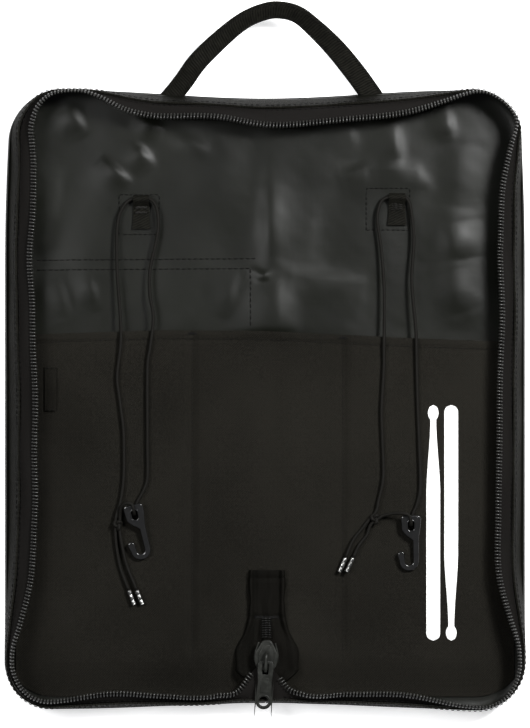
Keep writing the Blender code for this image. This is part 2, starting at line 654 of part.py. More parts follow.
def make_handle(name, route, widths, tilts, frame):
    """A stretch of the carrying handle: webbing folded double, swept along its arch and leaning as it goes."""
    points = smooth_route(route, 0.009)
    rows = [[], [], []]
    for i, point in enumerate(points):
        part = i / (len(points) - 1)
        ahead = (points[min(i + 1, len(points) - 1)] - points[max(i - 1, 0)]).normalized()
        flat = Vector((-ahead.y, ahead.x, 0.0)).normalized()
        tilt = math.radians(tilts[0] + (tilts[1] - tilts[0]) * part)
        half = (widths[0] + (widths[1] - widths[0]) * part) / 2
        across = flat * math.cos(tilt) + Vector((0, 0, 1)) * math.sin(tilt)
        for row, side in zip(rows, (-1, 0, 1)):
            row.append(point + across * half * side)
    sheet(name, rows, HANDLE_THICKNESS, 0.0, frame, WEBBING)


def main():
    clear_scene()
    frame = bpy.data.objects.new("sheet_frame", None)
    frame.location = (0.0, SHEET_Y, 0.0)
    collection.objects.link(frame)
    make_sheet_and_wall(frame)
    make_pocket("left_pocket", -POCKET_SIDE, -FOLD_X - POCKET_FOLD_GAP, frame)
    make_pocket("centre_pocket", POCKET_FOLD_GAP - FOLD_X, FOLD_X - POCKET_FOLD_GAP, frame)
    make_pocket("right_pocket", FOLD_X + POCKET_FOLD_GAP, POCKET_SIDE + 0.002, frame)
    make_side_label(frame)
    make_outer_pocket(frame)
    make_garage(frame)
    make_main_slider(frame)
    make_cord_set("left", LEFT_CORD, LEFT_TAILS, LEFT_KNOT, frame)
    make_cord_set("right", RIGHT_CORD, RIGHT_TAILS, RIGHT_KNOT, frame)
    make_handle("handle_left", HANDLE_LEFT, (0.0150, 0.0150), (10, 40), frame)
    make_handle("handle_top", HANDLE_TOP, (0.0150, 0.0150), (40, 40), frame)
    make_handle("handle_right", HANDLE_RIGHT, (0.0150, 0.0165), (40, 0), frame)


main()
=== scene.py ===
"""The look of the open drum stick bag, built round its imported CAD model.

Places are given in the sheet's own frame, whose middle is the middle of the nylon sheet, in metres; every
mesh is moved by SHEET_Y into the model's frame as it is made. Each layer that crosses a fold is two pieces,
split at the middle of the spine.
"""
import math

import bpy
import numpy as np
from mathutils import Matrix, Vector


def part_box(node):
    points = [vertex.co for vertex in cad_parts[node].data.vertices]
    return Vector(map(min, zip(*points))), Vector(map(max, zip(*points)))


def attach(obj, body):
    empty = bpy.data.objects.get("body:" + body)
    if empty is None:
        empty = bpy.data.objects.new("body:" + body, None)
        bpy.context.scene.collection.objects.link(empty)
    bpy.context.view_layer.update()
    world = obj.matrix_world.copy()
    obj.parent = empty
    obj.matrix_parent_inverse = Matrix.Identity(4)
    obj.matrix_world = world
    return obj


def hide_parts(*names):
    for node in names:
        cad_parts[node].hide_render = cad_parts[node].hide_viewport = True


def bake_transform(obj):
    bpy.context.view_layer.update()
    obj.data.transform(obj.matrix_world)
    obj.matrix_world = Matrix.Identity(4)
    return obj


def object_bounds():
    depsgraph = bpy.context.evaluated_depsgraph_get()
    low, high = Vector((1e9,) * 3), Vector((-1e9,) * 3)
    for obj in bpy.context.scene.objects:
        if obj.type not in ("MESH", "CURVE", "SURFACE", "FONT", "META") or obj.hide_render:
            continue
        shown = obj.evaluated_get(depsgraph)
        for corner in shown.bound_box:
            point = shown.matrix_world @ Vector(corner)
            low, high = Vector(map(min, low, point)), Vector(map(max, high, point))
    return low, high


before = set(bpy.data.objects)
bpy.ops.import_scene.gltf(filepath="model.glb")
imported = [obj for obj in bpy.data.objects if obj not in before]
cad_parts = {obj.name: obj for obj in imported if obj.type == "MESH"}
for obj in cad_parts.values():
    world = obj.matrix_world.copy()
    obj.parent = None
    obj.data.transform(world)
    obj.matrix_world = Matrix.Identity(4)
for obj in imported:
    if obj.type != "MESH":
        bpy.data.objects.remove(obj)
cad_low, cad_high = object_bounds()

LEFT_LOW, LEFT_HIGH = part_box("left_gusset")
RIGHT_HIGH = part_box("right_gusset")[1]
SHEET_Y = (LEFT_LOW[1] + LEFT_HIGH[1]) / 2
HALF_LENGTH = (LEFT_HIGH[1] - LEFT_LOW[1]) / 2
HALF_WIDTH = (RIGHT_HIGH[0] - LEFT_LOW[0]) / 2
SHELL_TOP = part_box("spine_shell")[1][2]
SHELL_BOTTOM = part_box("spine_shell")[0][2]
CORNER_RADIUS = 0.038
WALL_WEBBING = 0.025
RIB_PITCH = 0.0020
TOOTH_PITCH = 0.00250
CORD_RADIUS = 0.00125

# where the photographer stands: straight above, looking down
CAMERA_HEIGHT = 1.80
FRAME_WIDTH = 0.399
FRAME_HEIGHT = FRAME_WIDTH * 728 / 530
FRAME_CENTRE = (0.0, 0.0271)
RIM_HEIGHT = 0.020

# (distance along the edge from the middle of the near end, seam inset, teeth inset, teeth height), mm
WALL_STATIONS = np.array([
    (0, 5, 34, 21), (10, 5, 24, 22), (18, 5, 13, 24), (36, 4, 9.5, 28), (75, 5, 11, 28), (117, 6, 14, 28),
    (156, 5, 10, 29), (181, 4, 9, 30), (203, 4, 9, 30), (229, 4, 8.5, 30), (251, 6, 14.5, 29),
    (281, 10, 22, 27), (331, 12, 24.5, 26), (383, 12.5, 25, 26), (453, 12, 24, 26), (491, 11, 22.8, 26.5),
    (520, 10, 20.5, 27), (561, 11, 23, 26), (603, 11, 22, 27), (642, 6, 14, 29), (656, 3.5, 9, 30),
    (675, 2, 4.5, 31), (695, 2.5, 5, 31), (709, 4, 9.5, 30), (722, 6, 15, 29), (740, 8, 18.5, 28),
    (803, 8, 18, 28), (829, 9, 22, 27), (885, 9, 21, 27), (944, 7, 16, 28), (963, 5, 11, 30),
    (985, 2.5, 5, 31), (1012, 2, 4, 31.5), (1031, 2, 4.5, 31), (1045, 4, 9, 30), (1061, 6, 13.5, 29),
    (1081, 9, 18.5, 27.5), (1123, 10, 20.5, 27), (1193, 10, 20, 27), (1245, 10.5, 21.3, 27),
    (1327, 11, 22.4, 26.5), (1379, 10, 20.6, 27), (1403, 7, 15, 29), (1429, 3.5, 7.7, 30.5),
    (1450, 3, 6.5, 31), (1485, 3, 5.5, 31), (1510, 3, 6.5, 31), (1561, 6, 13.8, 29), (1596, 5.5, 12, 28.5),
    (1630, 4.5, 10, 28), (1642, 5, 14, 24), (1650, 5, 24, 22), (1658, 5, 34, 21),
]) / 1000


# ---------------------------------------------------------------- mesh helpers


def add_mesh(name, points, faces, materials, cloth=None, smooth=True, slots=None):
    """A mesh from points in the sheet's frame. cloth gives each point its (u, v) in metres for the weave."""
    points = np.asarray(points, float).reshape(-1, 3) + (0.0, SHEET_Y, 0.0)
    mesh = bpy.data.meshes.new(name)
    mesh.from_pydata(points.tolist(), [], [tuple(int(i) for i in face) for face in faces])
    for look in materials:
        mesh.materials.append(look)
    if cloth is not None:
        corner_point = np.zeros(len(mesh.loops), int)
        mesh.loops.foreach_get("vertex_index", corner_point)
        layer = mesh.uv_layers.new(name="cloth")
        layer.data.foreach_set("uv", np.asarray(cloth, float)[corner_point].ravel())
    if slots is not None:
        mesh.polygons.foreach_set("material_index", slots)
    mesh.polygons.foreach_set("use_smooth", [smooth] * len(mesh.polygons))
    mesh.update()
    # open edges stay crisp, so that the face by a cut edge keeps its own shading
    edge_of = np.zeros(len(mesh.loops), int)
    mesh.loops.foreach_get("edge_index", edge_of)
    sharp = mesh.attributes.new("sharp_edge", "BOOLEAN", "EDGE")
    sharp.data.foreach_set("value", np.bincount(edge_of, minlength=len(mesh.edges)) < 2)
    item = bpy.data.objects.new(name, mesh)
    bpy.context.scene.collection.objects.link(item)
    return item


def grid_faces(rows, columns, closed=False):
    """Quads over a grid of points; closed joins the last column to the first."""
    row, column = np.meshgrid(np.arange(rows - 1), np.arange(columns if closed else columns - 1),
                              indexing="ij")
    after = (column + 1) % columns
    quads = (row * columns + column, row * columns + after, (row + 1) * columns + after,
             (row + 1) * columns + column)
    return np.stack(quads, -1).reshape(-1, 4)


def thicken(item, thickness, offset=0.0, under=None):
    change = item.modifiers.new("thickness", "SOLIDIFY")
    change.thickness = thickness
    change.offset = offset
    change.use_even_offset = True
    if under is not None:
        change.material_offset = under
    return item


def unit(vectors):
    return vectors / np.maximum(np.linalg.norm(vectors, axis=-1, keepdims=True), 1e-12)


def smooth_route(route, step):
    """Evenly spaced points on a smooth curve through the given ones."""
    route = np.asarray(route, float)
    ends = np.vstack([2 * route[:1] - route[1:2], route, 2 * route[-1:] - route[-2:-1]])
    t = np.linspace(0, 1, 24, endpoint=False)[:, None]
    dense = []
    for a, b, c, d in zip(ends, ends[1:], ends[2:], ends[3:]):
        square = (2 * a - 5 * b + 4 * c - d) * t ** 2
        cube = (3 * b - a - 3 * c + d) * t ** 3
        dense.append(0.5 * (2 * b + (c - a) * t + square + cube))
    dense = np.vstack(dense + [route[-1:]])
    return respace(dense, step)


def respace(points, step):
    run = np.concatenate([[0.0], np.cumsum(np.linalg.norm(np.diff(points, axis=0), axis=1))])
    count = max(2, math.ceil(run[-1] / step))
    wanted = np.linspace(0, run[-1], count + 1)
    return np.stack([np.interp(wanted, run, points[:, i]) for i in range(3)], -1)


def carried_frames(points):
    """A direction along a line of points and two across it, carried along without twisting."""
    along = unit(np.gradient(points, axis=0))
    side = np.zeros_like(points)
    start = np.cross(along[0], (0, 0, 1.0))
    if np.linalg.norm(start) < 0.1:
        start = np.cross(along[0], (1.0, 0, 0))
    side[0] = start / np.linalg.norm(start)
    for i in range(1, len(points)):
        moved = side[i - 1] - along[i] * np.dot(side[i - 1], along[i])
        side[i] = moved / np.linalg.norm(moved)
    return along, side, np.cross(side, along)


def tube_parts(points, radii, sides, first=0):
    """Points, faces and cloth places of a round tube with closed ends."""
    _, side, up = carried_frames(points)
    radii = np.broadcast_to(radii, len(points))
    turn = np.linspace(0, 2 * np.pi, sides, endpoint=False)
    ring = side[:, None] * np.cos(turn)[None, :, None] + up[:, None] * np.sin(turn)[None, :, None]
    body = (points[:, None] + ring * radii[:, None, None]).reshape(-1, 3)
    run = np.concatenate([[0.0], np.cumsum(np.linalg.norm(np.diff(points, axis=0), axis=1))])
    cloth = np.stack([np.repeat(run, sides), np.tile(turn, len(points)) * radii.max()], -1)
    faces = grid_faces(len(points), sides, closed=True) + first
    caps = [list(range(first, first + sides)),
            list(range(first + len(body) - sides, first + len(body)))[::-1]]
    return body, [tuple(f) for f in faces[:, ::-1]] + [tuple(caps[0]), tuple(caps[1])], cloth


def tube(name, points, radii, sides, looks):
    body, faces, cloth = tube_parts(np.asarray(points), radii, sides)
    return add_mesh(name, body, faces, looks, cloth)


def stitches(name, paths, look, length=0.0026, gap=0.0014, radius=0.00028, lift=0.00012):
    """Rows of thread: short rounded lengths that dive into the cloth at both ends."""
    all_points, all_faces, all_cloth = [], [], []
    first = 0
    for path in paths:
        path = np.asarray(path, float)
        run = np.concatenate([[0.0], np.cumsum(np.linalg.norm(np.diff(path, axis=0), axis=1))])
        for start in np.arange(0.0, run[-1] - length, length + gap):
            at = np.linspace(start, start + length, 5)
            line = np.stack([np.interp(at, run, path[:, i]) for i in range(3)], -1)
            line[:, 2] += np.array([-0.5, 0.7, 1.0, 0.7, -0.5]) * radius + lift
            body, faces, cloth = tube_parts(line, np.array([0.5, 1, 1, 1, 0.5]) * radius, 6, first)
            all_points.append(body)
            all_faces += faces
            all_cloth.append(cloth)
            first += len(body)
    return add_mesh(name, np.vstack(all_points), all_faces, [look], np.vstack(all_cloth))


def over_fold(item, side):
    """Bakes the piece's placement into its mesh, the same for either side."""
    if side == "left":
        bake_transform(item)
    else:
        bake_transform(item)


# ---------------------------------------------------------------- the edge of the sheet


def warped(points):
    """Pulls the plain rounded rectangle into the sheet's real edge."""
    x, y = points[:, 0], points[:, 1]
    end = np.where(np.abs(x) < 0.15, np.cos(np.pi * x / 0.3) ** 2, 0.0)
    y_out = np.where(y > HALF_LENGTH - CORNER_RADIUS, y - 0.0060 * end, y)
    y_out = np.where(y < CORNER_RADIUS - HALF_LENGTH, y + 0.0046 * end, y_out)
    x_out = x * (1 - 0.025 * (np.maximum(0.0, y - 0.1) / 0.135) ** 2)
    return np.stack([x_out, y_out], -1)


def edge_line():
    """The sheet's edge from the middle of its near end, clockwise from above, every half millimetre."""
    side_x, side_y = HALF_WIDTH - CORNER_RADIUS, HALF_LENGTH - CORNER_RADIUS
    points = [(0.0, -HALF_LENGTH)]
    for cx, cy, start in ((-side_x, -side_y, 270), (-side_x, side_y, 180), (side_x, side_y, 90),
                          (side_x, -side_y, 0)):
        for turn in range(0, 91, 3):
            angle = math.radians(start - turn)
            points.append((cx + CORNER_RADIUS * math.cos(angle), cy + CORNER_RADIUS * math.sin(angle)))
    points = np.array(points + [(0.0, -HALF_LENGTH)])
    run = np.concatenate([[0.0], np.cumsum(np.linalg.norm(np.diff(points, axis=0), axis=1))])
    at = np.arange(0.0, run[-1], 0.0005)
    line = warped(np.stack([np.interp(at, run, points[:, i]) for i in (0, 1)], -1))
    run = np.concatenate([[0.0], np.cumsum(np.linalg.norm(np.diff(line, axis=0), axis=1))])
    return line, run


EDGE, EDGE_RUN = edge_line()
EDGE_LENGTH = EDGE_RUN[-1]
EDGE_MIDDLE = EDGE_RUN[len(EDGE_RUN) // 4 + np.argmin(np.abs(EDGE[len(EDGE) // 4:3 * len(EDGE) // 4, 0]))]


def edge_at(distance):
    """Points on the edge and the directions inwards, at distances along the edge."""
    point = np.stack([np.interp(distance, EDGE_RUN, EDGE[:, i]) for i in (0, 1)], -1)
    ahead = np.stack([np.interp(distance + 0.004, EDGE_RUN, EDGE[:, i]) for i in (0, 1)], -1)
    behind = np.stack([np.interp(distance - 0.004, EDGE_RUN, EDGE[:, i]) for i in (0, 1)], -1)
    along = unit(ahead - behind)
    return point, np.stack([along[:, 1], -along[:, 0]], -1)


def station(distance, column):
    """A smooth curve through one column of the wall's stations."""
    knots, values = WALL_STATIONS[:, 0], WALL_STATIONS[:, column]
    slopes = np.gradient(values, knots)
    low = np.clip(np.searchsorted(knots, distance) - 1, 0, len(knots) - 2)
    span = knots[low + 1] - knots[low]
    t = np.clip((distance - knots[low]) / span, 0, 1)
    return (
        (2 * t ** 3 - 3 * t ** 2 + 1) * values[low]
        + (t ** 3 - 2 * t ** 2 + t) * span * slopes[low]
        + (3 * t ** 2 - 2 * t ** 3) * values[low + 1]
        + (t ** 3 - t ** 2) * span * slopes[low + 1]
    )


def at_inset(distance, inset, height):
    """Points at an inset from the edge and a height."""
    point, inwards = edge_at(distance)
    flat = point + inwards * np.asarray(inset)[..., None]
    return np.concatenate([flat, np.broadcast_to(np.asarray(height), distance.shape)[..., None]], -1)


def ripple(x, y, seed):
    """Soft irregular waves, between about -1 and 1."""
    rng = np.random.default_rng(seed)
    total = 0
    for _ in range(7):
        angle, phase = rng.uniform(0, 2 * np.pi, 2)
        wave = rng.uniform(25, 120)
        total = total + np.sin(wave * (x * np.cos(angle) + y * np.sin(angle)) + phase) / 3
    return total


# ---------------------------------------------------------------- materials


def look_base(name, colour, roughness, metallic=0.0, **sockets):
    made = bpy.data.materials.new(name)
    made.use_nodes = True
    shader = made.node_tree.nodes["Principled BSDF"]
    shader.inputs["Base Color"].default_value = (*colour, 1)
    shader.inputs["Roughness"].default_value = roughness
    shader.inputs["Metallic"].default_value = metallic
    for key, value in sockets.items():
        shader.inputs[key.replace("_", " ")].default_value = value
    return made, made.node_tree, shader


def node(tree, kind, **inputs):
    """A shader node with some inputs set to numbers or linked to other nodes' outputs."""
    made = tree.nodes.new("ShaderNode" + kind)
    for key, value in inputs.items():
        if key.startswith("_"):
            setattr(made, key[1:], value)
            continue
        socket = made.inputs[int(key[1:])] if key[0] == "i" and key[1:].isdigit() else made.inputs[key]
        if isinstance(value, bpy.types.NodeSocket):
            tree.links.new(value, socket)
        else:
            socket.default_value = value
    return made


def math_node(tree, operation, a, b=0.0):
    return node(tree, "Math", _operation=operation, i0=a, i1=b).outputs[0]


def cloth_places(tree):
    split = node(tree, "SeparateXYZ", Vector=node(tree, "UVMap", _uv_map="cloth").outputs[0])
    return split.outputs[0], split.outputs[1]


def ridges(tree, place, pitch):
    return math_node(tree, "ABSOLUTE",
                     math_node(tree, "SINE", math_node(tree, "MULTIPLY", place, math.pi / pitch)))


def plain_weave(tree, pitch):
    """Over-and-under threads."""
    u, v = cloth_places(tree)
    places = node(tree, "UVMap", _uv_map="cloth").outputs[0]
    checks = node(tree, "TexChecker", Vector=places, Scale=1 / pitch).outputs["Fac"]
    warp = math_node(tree, "MULTIPLY", ridges(tree, u, pitch), checks)
    weft = math_node(tree, "MULTIPLY", ridges(tree, v, pitch), math_node(tree, "SUBTRACT", 1.0, checks))
    return math_node(tree, "ADD", warp, weft)


def twill(tree, pitch, slant):
    """Slanting ribs."""
    u, v = cloth_places(tree)
    return ridges(tree, math_node(tree, "ADD", u, math_node(tree, "MULTIPLY", v, slant)), pitch)


def noise(tree, scale, detail=3.0, roughness=0.5, stretch=None):
    places = node(tree, "TexCoord").outputs["Object"]
    if stretch is not None:
        places = node(tree, "Mapping", Vector=places, Scale=stretch).outputs[0]
    return node(tree, "TexNoise", Vector=places, Scale=scale, Detail=detail, Roughness=roughness).outputs[0]


def ramp(tree, value, low, high, from_low=0.3, from_high=0.7):
    made = node(tree, "MapRange", Value=value)
    made.inputs["From Min"].default_value = from_low
    made.inputs["From Max"].default_value = from_high
    made.inputs["To Min"].default_value = low
    made.inputs["To Max"].default_value = high
    return made.outputs[0]


def bump(tree, shader, heights):
    """heights is a list of (height, distance in metres, strength), the coarsest first."""
    normal = None
    for height, distance, strength in heights:
        made = node(tree, "Bump", Height=height, Distance=distance, Strength=strength)
        if normal is not None:
            tree.links.new(normal, made.inputs["Normal"])
        normal = made.outputs[0]
    tree.links.new(normal, shader.inputs["Normal"])


def varied(tree, shader, dark, light, amount):
    """Colour that drifts between two close tones."""
    mix = node(tree, "Mix", _data_type="RGBA")
    tree.links.new(amount, mix.inputs[0])
    mix.inputs[6].default_value = (*dark, 1)
    mix.inputs[7].default_value = (*light, 1)
    tree.links.new(mix.outputs[2], shader.inputs["Base Color"])


def make_nylon(name="nylon_oxford", tone=1.0):
    made, tree, shader = look_base(name, (0.012, 0.011, 0.010), 0.75, Specular_IOR_Level=0.03)
    weave = plain_weave(tree, 0.00095)
    worn = ramp(tree, noise(tree, 9.0, 4.0), -0.1, 0.7)
    fleck = ramp(tree, noise(tree, 1100.0, 1.0), -0.60, 0.70, 0.25, 0.75)
    amount = math_node(tree, "ADD", worn,
                       math_node(tree, "ADD", fleck, math_node(tree, "MULTIPLY", weave, 0.35)))
    varied(tree, shader, tuple(0.0062 * tone * c for c in (1, 0.93, 0.75)),
           tuple(0.0128 * tone * c for c in (1, 0.93, 0.75)), amount)
    tree.links.new(ramp(tree, noise(tree, 30.0), 0.62, 0.80), shader.inputs["Roughness"])
    bump(tree, shader, [(noise(tree, 160.0, 3.0), 0.0004, 0.30), (weave, 0.00030, 0.9)])
    return made


def make_coating():
    """The sheet's shiny plastic-coated back, with the weave showing faintly through."""
    made, tree, shader = look_base("coated_back", (0.010, 0.010, 0.0085), 0.40, Specular_IOR_Level=0.128)
    weave = plain_weave(tree, 0.0009)
    cloudy = ramp(tree, noise(tree, 14.0, 4.0), 0.0, 1.0)
    varied(tree, shader, (0.0025, 0.0028, 0.0018), (0.0052, 0.0057, 0.0040), cloudy)
    tree.links.new(ramp(tree, noise(tree, 45.0, 5.0), 0.33, 0.43), shader.inputs["Roughness"])
    bump(tree, shader, [(noise(tree, 34.0, 3.0), 0.0010, 0.22), (noise(tree, 420.0, 3.0), 0.0002, 0.25),
                        (weave, 0.00010, 0.25)])
    return made


def make_webbing(name="webbing_ribbed", tone=1.0):
    made, tree, shader = look_base(name, (0.009, 0.0085, 0.006), 0.60, Specular_IOR_Level=0.04)
    ribs = twill(tree, RIB_PITCH, 0.5)
    fine = twill(tree, 0.0007, -1.6)
    amount = math_node(tree, "ADD", math_node(tree, "MULTIPLY", ribs, 0.7),
                       ramp(tree, noise(tree, 300.0), -0.2, 0.4))
    varied(tree, shader, tuple(0.0014 * tone * c for c in (1, 0.96, 0.74)),
           tuple(0.0085 * tone * c for c in (1, 0.97, 0.74)), amount)
    bump(tree, shader, [(ribs, 0.00045, 0.6), (fine, 0.00018, 0.6)])
    return made


def make_tape_look():
    made, tree, shader = look_base("zip_tape_twill", (0.010, 0.009, 0.008), 0.65, Specular_IOR_Level=0.04)
    ribs = twill(tree, 0.0008, 1.0)
    varied(tree, shader, (0.0030, 0.0027, 0.0024), (0.0075, 0.0068, 0.0062), ribs)
    bump(tree, shader, [(noise(tree, 120.0), 0.0005, 0.3), (ribs, 0.00016, 0.6)])
    return made


def make_teeth_look(name="nylon_coil", tone=1.0):
    made, tree, shader = look_base(name, (0.018, 0.018, 0.015), 0.30, Specular_IOR_Level=0.42 * tone)
    varied(tree, shader, tuple(tone * c for c in (0.008, 0.008, 0.007)),
           tuple(tone * c for c in (0.020, 0.020, 0.018)),
           ramp(tree, noise(tree, 260.0), 0.0, 1.0))
    bump(tree, shader, [(noise(tree, 1500.0, 2.0), 0.00008, 0.25)])
    return made


def make_thread(name="thread", colour=(0.0025, 0.0024, 0.0022)):
    made, tree, shader = look_base(name, colour, 0.6, Specular_IOR_Level=0.1)
    bump(tree, shader, [(twill(tree, 0.0004, 1.2), 0.0001, 0.6)])
    return made


def make_cord_look():
    """Round braid: strands slanting both ways."""
    made, tree, shader = look_base("braided_cord", (0.011, 0.010, 0.0085), 0.6, Specular_IOR_Level=0.08)
    one = twill(tree, 0.0011, 0.8)
    other = twill(tree, 0.0011, -0.8)
    braid = math_node(tree, "MAXIMUM", one, other)
    varied(tree, shader, (0.0015, 0.0014, 0.0011), (0.0075, 0.0070, 0.0058),
           math_node(tree, "POWER", braid, 3.0))
    bump(tree, shader, [(braid, 0.00025, 0.8)])
    return made


def make_plastic():
    made, tree, shader = look_base("hook_gloss", (0.006, 0.006, 0.006), 0.14, Specular_IOR_Level=0.6)
    tree.links.new(ramp(tree, noise(tree, 220.0, 4.0), 0.10, 0.26), shader.inputs["Roughness"])
    bump(tree, shader, [(noise(tree, 340.0, 3.0), 0.0001, 0.2)])
    return made


def make_slider_metal():
    made, tree, shader = look_base("slider_enamel", (0.010, 0.0105, 0.0088), 0.42, 0.10,
                                   Specular_IOR_Level=0.22)
    rub = ramp(tree, noise(tree, 180.0, 5.0), 0.0, 1.0, 0.45, 0.75)
    varied(tree, shader, (0.0085, 0.0090, 0.0074), (0.024, 0.025, 0.022), rub)
    bump(tree, shader, [(noise(tree, 600.0, 3.0), 0.00012, 0.3)])
    return made


def make_bright_metal():
    made, tree, shader = look_base("crimp_tin", (0.55, 0.55, 0.54), 0.3, 1.0)
    varied(tree, shader, (0.10, 0.10, 0.095), (0.36, 0.36, 0.35),
           ramp(tree, noise(tree, 500.0, 4.0), 0.0, 1.0))
    tree.links.new(ramp(tree, noise(tree, 700.0), 0.2, 0.45), shader.inputs["Roughness"])
    bump(tree, shader, [(noise(tree, 900.0, 2.0), 0.0002, 0.4)])
    return made


def make_print_look():
    made, tree, shader = look_base("white_print", (0.80, 0.80, 0.79), 0.6, Specular_IOR_Level=0.3)
    weave = plain_weave(tree, 0.00075)
    worn = ramp(tree, noise(tree, 700.0, 3.0), 0.0, 1.0, 0.25, 0.6)
    varied(tree, shader, (0.60, 0.60, 0.59), (0.86, 0.86, 0.85), worn)
    bump(tree, shader, [(weave, 0.00016, 0.5)])
    return made


def make_floor_look():
    made, _, shader = look_base("studio_floor", (0.86, 0.86, 0.86), 0.85)
    shader.inputs["Emission Color"].default_value = (1, 1, 1, 1)
    shader.inputs["Emission Strength"].default_value = 0.55
    return made


NYLON = make_nylon()
NYLON_OUT = make_nylon("nylon_outside", 1.15)
FLAP = make_nylon("nylon_flap", 0.40)
COATING = make_coating()
WEBBING = make_webbing()
TAPE = make_tape_look()
TEETH = make_teeth_look()
TEETH_DARK = make_teeth_look("nylon_coil_shaded", 0.3)
THREAD = make_thread()
CORD = make_cord_look()
PLASTIC = make_plastic()
ENAMEL = make_slider_metal()
TIN = make_bright_metal()
PRINT = make_print_look()


# ---------------------------------------------------------------- camera, light and floor


def look_at(item, target):
    item.rotation_euler = (Vector(target) - item.location).to_track_quat("-Z", "Y").to_euler()


def make_camera():
    data = bpy.data.cameras.new("camera")
    data.sensor_fit = "VERTICAL"
    data.sensor_height = 36
    data.lens = 36 * (CAMERA_HEIGHT - RIM_HEIGHT) / FRAME_HEIGHT
    data.clip_start = 0.05
    camera = bpy.data.objects.new("camera", data)
    camera.location = (FRAME_CENTRE[0], FRAME_CENTRE[1] + SHEET_Y, CAMERA_HEIGHT)
    bpy.context.scene.collection.objects.link(camera)
    bpy.context.scene.camera = camera


def make_light(name, place, size, power, target=(0, 0, 0)):
    data = bpy.data.lights.new(name, "AREA")
    data.shape = "RECTANGLE"
    data.size, data.size_y = size
    data.energy = power
    light = bpy.data.objects.new(name, data)
    light.location = place
    bpy.context.scene.collection.objects.link(light)
    look_at(light, target)


def make_stage():
    world = bpy.data.worlds.new("studio")
    world.use_nodes = True
    background = world.node_tree.nodes["Background"]
    background.inputs["Color"].default_value = (0.93, 0.95, 1.0, 1)
    background.inputs["Strength"].default_value = 0.20
    bpy.context.scene.world = world
    bpy.context.scene.view_settings.view_transform = "Standard"
    floor = add_mesh("floor", [(-4, -4, 0), (4, -4, 0), (4, 4, 0), (-4, 4, 0)], [(0, 1, 2, 3)],
                     [make_floor_look()])
    floor.location.z = cad_low[2] - 0.0002
    make_light("key", (0.72, 0.55, 1.20), (0.32, 0.32), 40.0)
    make_light("fill", (-0.80, 0.20, 1.25), (0.45, 0.60), 14.0)


make_camera()
make_stage()


# ---------------------------------------------------------------- cords, knots, tips and hooks


LEFT_CORD = [
    (-0.1126, -0.0888, 0.0158), (-0.1090, -0.0760, 0.0150), (-0.1068, -0.0580, 0.0147),
             (-0.1066, -0.0320, 0.0147),
    (-0.1074, -0.0180, 0.0147), (-0.1100, 0.0020, 0.0147), (-0.1117, 0.0180, 0.0147),
             (-0.1090, 0.0420, 0.0152),
    (-0.1092, 0.0620, 0.0142), (-0.1118, 0.0990, 0.0125), (-0.1118, 0.1310, 0.0110),
             (-0.1085, 0.1440, 0.0104),
    (-0.1030, 0.1510, 0.0100), (-0.0980, 0.1520, 0.0099), (-0.0900, 0.1520, 0.0099),
             (-0.0855, 0.1510, 0.0100),
    (-0.0815, 0.1430, 0.0105), (-0.0812, 0.1260, 0.0112), (-0.0868, 0.0990, 0.0125),
             (-0.0870, 0.0800, 0.0136),
    (-0.0843, 0.0620, 0.0145), (-0.0868, 0.0390, 0.0152), (-0.0888, 0.0230, 0.0147),
             (-0.0888, -0.0320, 0.0147),
    (-0.0888, -0.0580, 0.0147), (-0.0915, -0.0680, 0.0146), (-0.0965, -0.0770, 0.0144),
             (-0.0984, -0.0832, 0.0146),
    (-0.0985, -0.0864, 0.0178), (-0.0988, -0.0832, 0.0211), (-0.1000, -0.0785, 0.0216),
             (-0.1040, -0.0775, 0.0214),
    (-0.1080, -0.0800, 0.0195), (-0.1094, -0.0850, 0.0172), (-0.1095, -0.0888, 0.0160),
]
LEFT_TAILS = [
    [(-0.1130, -0.0998, 0.0150), (-0.1122, -0.1110, 0.0146), (-0.1092, -0.1270, 0.0146),
     (-0.1030, -0.1432, 0.0152)],
    [(-0.1096, -0.0998, 0.0150), (-0.1078, -0.1110, 0.0146), (-0.1044, -0.1250, 0.0146),
     (-0.0970, -0.1432, 0.0152)],
]
RIGHT_CORD = [
    (0.0838, -0.0843, 0.0152), (0.0858, -0.0760, 0.0147), (0.0893, -0.0580, 0.0147),
              (0.0886, -0.0300, 0.0147),
    (0.0880, -0.0080, 0.0147), (0.0896, 0.0230, 0.0147), (0.0898, 0.0420, 0.0152), (0.0903, 0.0640, 0.0142),
    (0.0898, 0.0900, 0.0130), (0.0878, 0.1150, 0.0118), (0.0850, 0.1370, 0.0108), (0.0880, 0.1500, 0.0101),
    (0.0940, 0.1535, 0.0099), (0.1000, 0.1535, 0.0099), (0.1055, 0.1535, 0.0099), (0.1092, 0.1495, 0.0102),
    (0.1112, 0.1390, 0.0107), (0.1126, 0.1210, 0.0115), (0.1110, 0.0930, 0.0128), (0.1120, 0.0740, 0.0138),
    (0.1140, 0.0520, 0.0152), (0.1146, 0.0230, 0.0147), (0.1152, -0.0020, 0.0147),
              (0.1163, -0.0320, 0.0147),
    (0.1172, -0.0640, 0.0147), (0.1150, -0.0780, 0.0146), (0.1112, -0.0870, 0.0144),
              (0.1101, -0.0912, 0.0146),
    (0.1101, -0.0935, 0.0156), (0.1100, -0.0944, 0.0178), (0.1099, -0.0935, 0.0201),
              (0.1098, -0.0912, 0.0211), (0.1085, -0.0868, 0.0216), (0.1035, -0.0852, 0.0214),
    (0.0970, -0.0855, 0.0190), (0.0910, -0.0868, 0.0165), (0.0878, -0.0880, 0.0157),
]
RIGHT_TAILS = [
    [(0.0786, -0.0905, 0.0150), (0.0735, -0.0970, 0.0146), (0.0665, -0.1060, 0.0146),
     (0.0610, -0.1187, 0.0152)],
    [(0.0800, -0.0940, 0.0150), (0.0770, -0.1020, 0.0146), (0.0712, -0.1095, 0.0146),
     (0.0668, -0.1187, 0.0152)],
]
